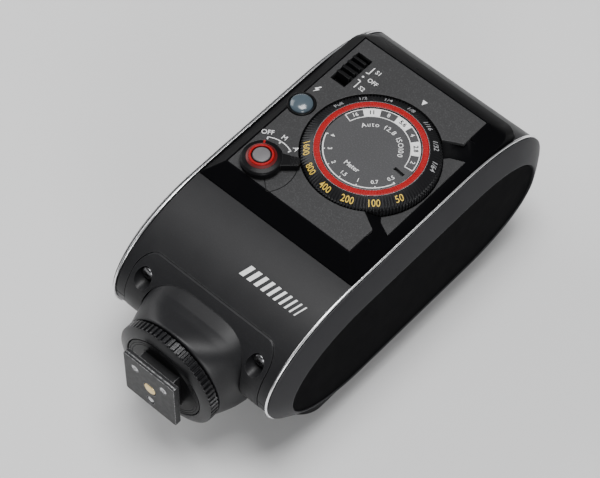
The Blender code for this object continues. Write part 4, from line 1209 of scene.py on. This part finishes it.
def lamp():
    """Make the lamp's reflector, tube and ribbed lens."""
    shares = [step / 8 for step in range(9)]
    inside = [(radius + 0.05, z) for radius, z in bowl_curve(8.5, 3.7, shares[::-1])]
    profile = [(9.3, 3.4), (9.3, 4.0)] + bowl_curve(8.6, 4.2, shares) + inside + [(8.8, 3.4)]
    bowl = turned("lamp_bowl", profile, LAMP, 96)
    dress(bowl, MIRROR, "lamp_reflector", sharp=50.0)
    low, high = span("flash_tube")
    profile = rod_profile(1.3, low.x, high.x, 0.5)
    tube = turned("xenon_tube", profile, (LAMP.y, (low.z + high.z) / 2), 40, "x")
    dress(tube, GLASS, "flash_tube")
    face = span("lamp_dome")[0].z
    profile = [(0.0, 3.2), (9.3, 3.2), (9.3, 1.5), (11.2, 1.5), (11.2, 1.2)]
    for index in range(11):
        radius = 10.6 - index * 0.95
        rise = face + 0.006 * radius ** 2
        profile += [(radius, rise + 0.22), (radius - 0.2, rise)]
    profile.append((0.0, face))
    dome = turned("lamp_lens", profile, LAMP, 128)
    dress(dome, LENS, "lamp_dome", sharp=25.0)


def cover_outline():
    """List the cover's outline, notched round the lamp."""
    notch = 16.2
    reach = math.degrees(math.acos((LAMP.y - COVER_HIGH.y) / notch))
    half = COVER_HIGH.x
    near, far = 8.0, 4.0
    outline = arc((-half + near, COVER_LOW.y + near), near, 180.0, 270.0, 12)
    outline += arc((half - near, COVER_LOW.y + near), near, 270.0, 360.0, 12)
    outline += arc((half - far, COVER_HIGH.y - far), far, 0.0, 90.0, 8)
    outline += arc(LAMP, notch, -90.0 + reach, -90.0 - reach, 24)
    outline += arc((-half + far, COVER_HIGH.y - far), far, 90.0, 180.0, 8)
    return outline


def cover():
    """Make the flat front cover, its spacer and its two screws."""
    item = prism("cover_plate", cover_outline(), "z", COVER_LOW.z, COVER_HIGH.z)
    soften(item, 0.5, 3)
    half = COVER_HIGH.x
    low, high = COVER_LOW.y, COVER_HIGH.y
    outer = rounded_rectangle((-half + 4.5, low + 4.5), (half - 4.5, high - 12.0), 5.0)
    inner = rounded_rectangle((-half + 5.0, low + 5.0), (half - 5.0, high - 12.5), 4.6)
    line = prism("line", outer, "z", BELOW, 0.18)
    combine(line, prism("line_hole", inner, "z", BELOW - 4.0, -BELOW))
    combine(item, line)
    low, high = span("cover_spacer")
    side = [(low.y, low.z), (high.y, low.z), (high.y, 10.8), (-28.2, 11.4), (low.y, high.z)]
    spacer = soften(prism("spacer_block", fillet(side, 0.3), "x", low.x, high.x), 0.15)
    for name in COVER_SCREWS:
        low, high = span(name)
        centre = middle(name)
        drill(item, centre, 2.8, BELOW, 2.2, 48)
        drill(item, centre, SCREW_HOLE, BELOW, 8.0, 32)
        drill(spacer, centre, SCREW_HOLE, 0.0, 20.0, 32)
        head = [(0.0, low.z), (1.9, low.z + 0.02), (2.35, low.z + 0.2), (2.5, low.z + 0.5), (2.5, 2.1)]
        head += [(1.2, 2.1), (1.2, high.z), (0.0, high.z)]
        cross_screw(name, "z", head, 48, BELOW, 15.0, (1.4, 0.5, 0.8))
    dress(item, COVER, "front_cover")
    dress(spacer, MOULDED, "cover_spacer")


def fan():
    """Make the folding reflector leaves and the tab that turns them."""
    radius = LAMP.y - span("fan_leaf_1")[0].y
    outline = arc(LAMP, radius, -113.5, -66.5, 40)
    outline += arc(LAMP, 15.4, -66.5, 246.5, 72)
    for number in range(1, 8):
        leaf_name = "fan_leaf_%d" % number
        low, high = span(leaf_name)
        leaf = prism("leaf_%d" % number, outline, "z", low.z, high.z)
        drill(leaf, LAMP, 11.6, BELOW, 20.0, 96)
        soften(leaf, 0.12, 2)
        dress(leaf, LEAF, leaf_name, body="fan_%d" % number)
    low, high = span("fan_tab")
    outline = sector(LAMP, radius + 0.1, radius + 4.5, -75.0, -68.0, 8)
    tab = prism("leaf_tab", outline, "z", low.z, high.z)
    soften(tab, 0.3, 3)
    dress(tab, MOULDED, "fan_tab", body="fan_7")


def inner_finishes():
    """Give the parts inside the body their materials."""
    inner = {
        "main_board": BOARD, "dial_encoder": STEEL, "mode_switch": MOULDED, "test_switch": MOULDED,
        "slide_contact": STEEL, "battery_cell": WRAP, "main_capacitor": MOULDED,
        "transformer": COPPER, "trigger_coil": COPPER,
    }
    for name, material in inner.items():
        for material_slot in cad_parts[name].material_slots:
            material_slot.material = material


# -------------------------------------------------------------------- studio

def floor():
    """Lay a plain pale floor."""
    mesh_data = bmesh.new()
    bmesh.ops.create_grid(mesh_data, x_segments=2, y_segments=2, size=3000.0)
    item = shape("studio_floor", mesh_data)
    paper = finish("floor_paper", (0.72, 0.72, 0.72), 0.85, spread=0.02, patch=300.0, grain=2.0, depth=0.01)
    item.data.materials.append(paper)


def area_light(name, position, size, power):
    """Hang a soft square light that points at the object."""
    data = bpy.data.lights.new(name, "AREA")
    data.shape = "SQUARE"
    data.size = size
    data.energy = power
    item = bpy.data.objects.new(name, data)
    bpy.context.scene.collection.objects.link(item)
    item.location = position
    direction = Vector((0.0, 0.0, 0.03)) - Vector(position)
    item.rotation_euler = direction.to_track_quat("-Z", "Y").to_euler()


def studio():
    """Set the floor, the lights and the world."""
    floor()
    area_light("top_light", (0.05, 0.10, 1.20), 0.60, 17.0)
    area_light("left_light", (-1.00, -0.10, 0.55), 0.70, 6.0)
    area_light("fill_light", (0.90, -0.75, 0.45), 0.45, 7.0)
    world = bpy.data.worlds.new("studio_world")
    world.use_nodes = True
    background = world.node_tree.nodes["Background"]
    background.inputs["Color"].default_value = (0.9, 0.91, 0.93, 1.0)
    background.inputs["Strength"].default_value = 0.22
    bpy.context.scene.world = world


def camera():
    """Set the camera for the main view."""
    data = bpy.data.cameras.new("camera")
    data.lens = 148.85
    data.sensor_width = 36.0
    item = bpy.data.objects.new("camera", data)
    bpy.context.scene.collection.objects.link(item)
    azimuth, elevation, roll = (math.radians(value) for value in (41.655, 56.002, 0.397))
    turn = Matrix.Rotation(azimuth, 4, "Z") @ Matrix.Rotation(math.pi / 2 - elevation, 4, "X")
    stand = Matrix.Translation(Vector((254.6, -291.2, 602.2)) * MM)
    item.matrix_world = stand @ turn @ Matrix.Rotation(roll, 4, "Z")
    bpy.context.scene.camera = item


shells()
sides()
panel()
scallop()
panel_marks()
ornament()
dial_ring()
red_ring()
disc()
dial_marks()
lever()
button()
switch()
saddle()
neck()
lock_wheel()
foot()
foot_pins()
lamp_housing()
lamp()
cover()
fan()
inner_finishes()
studio()
camera()
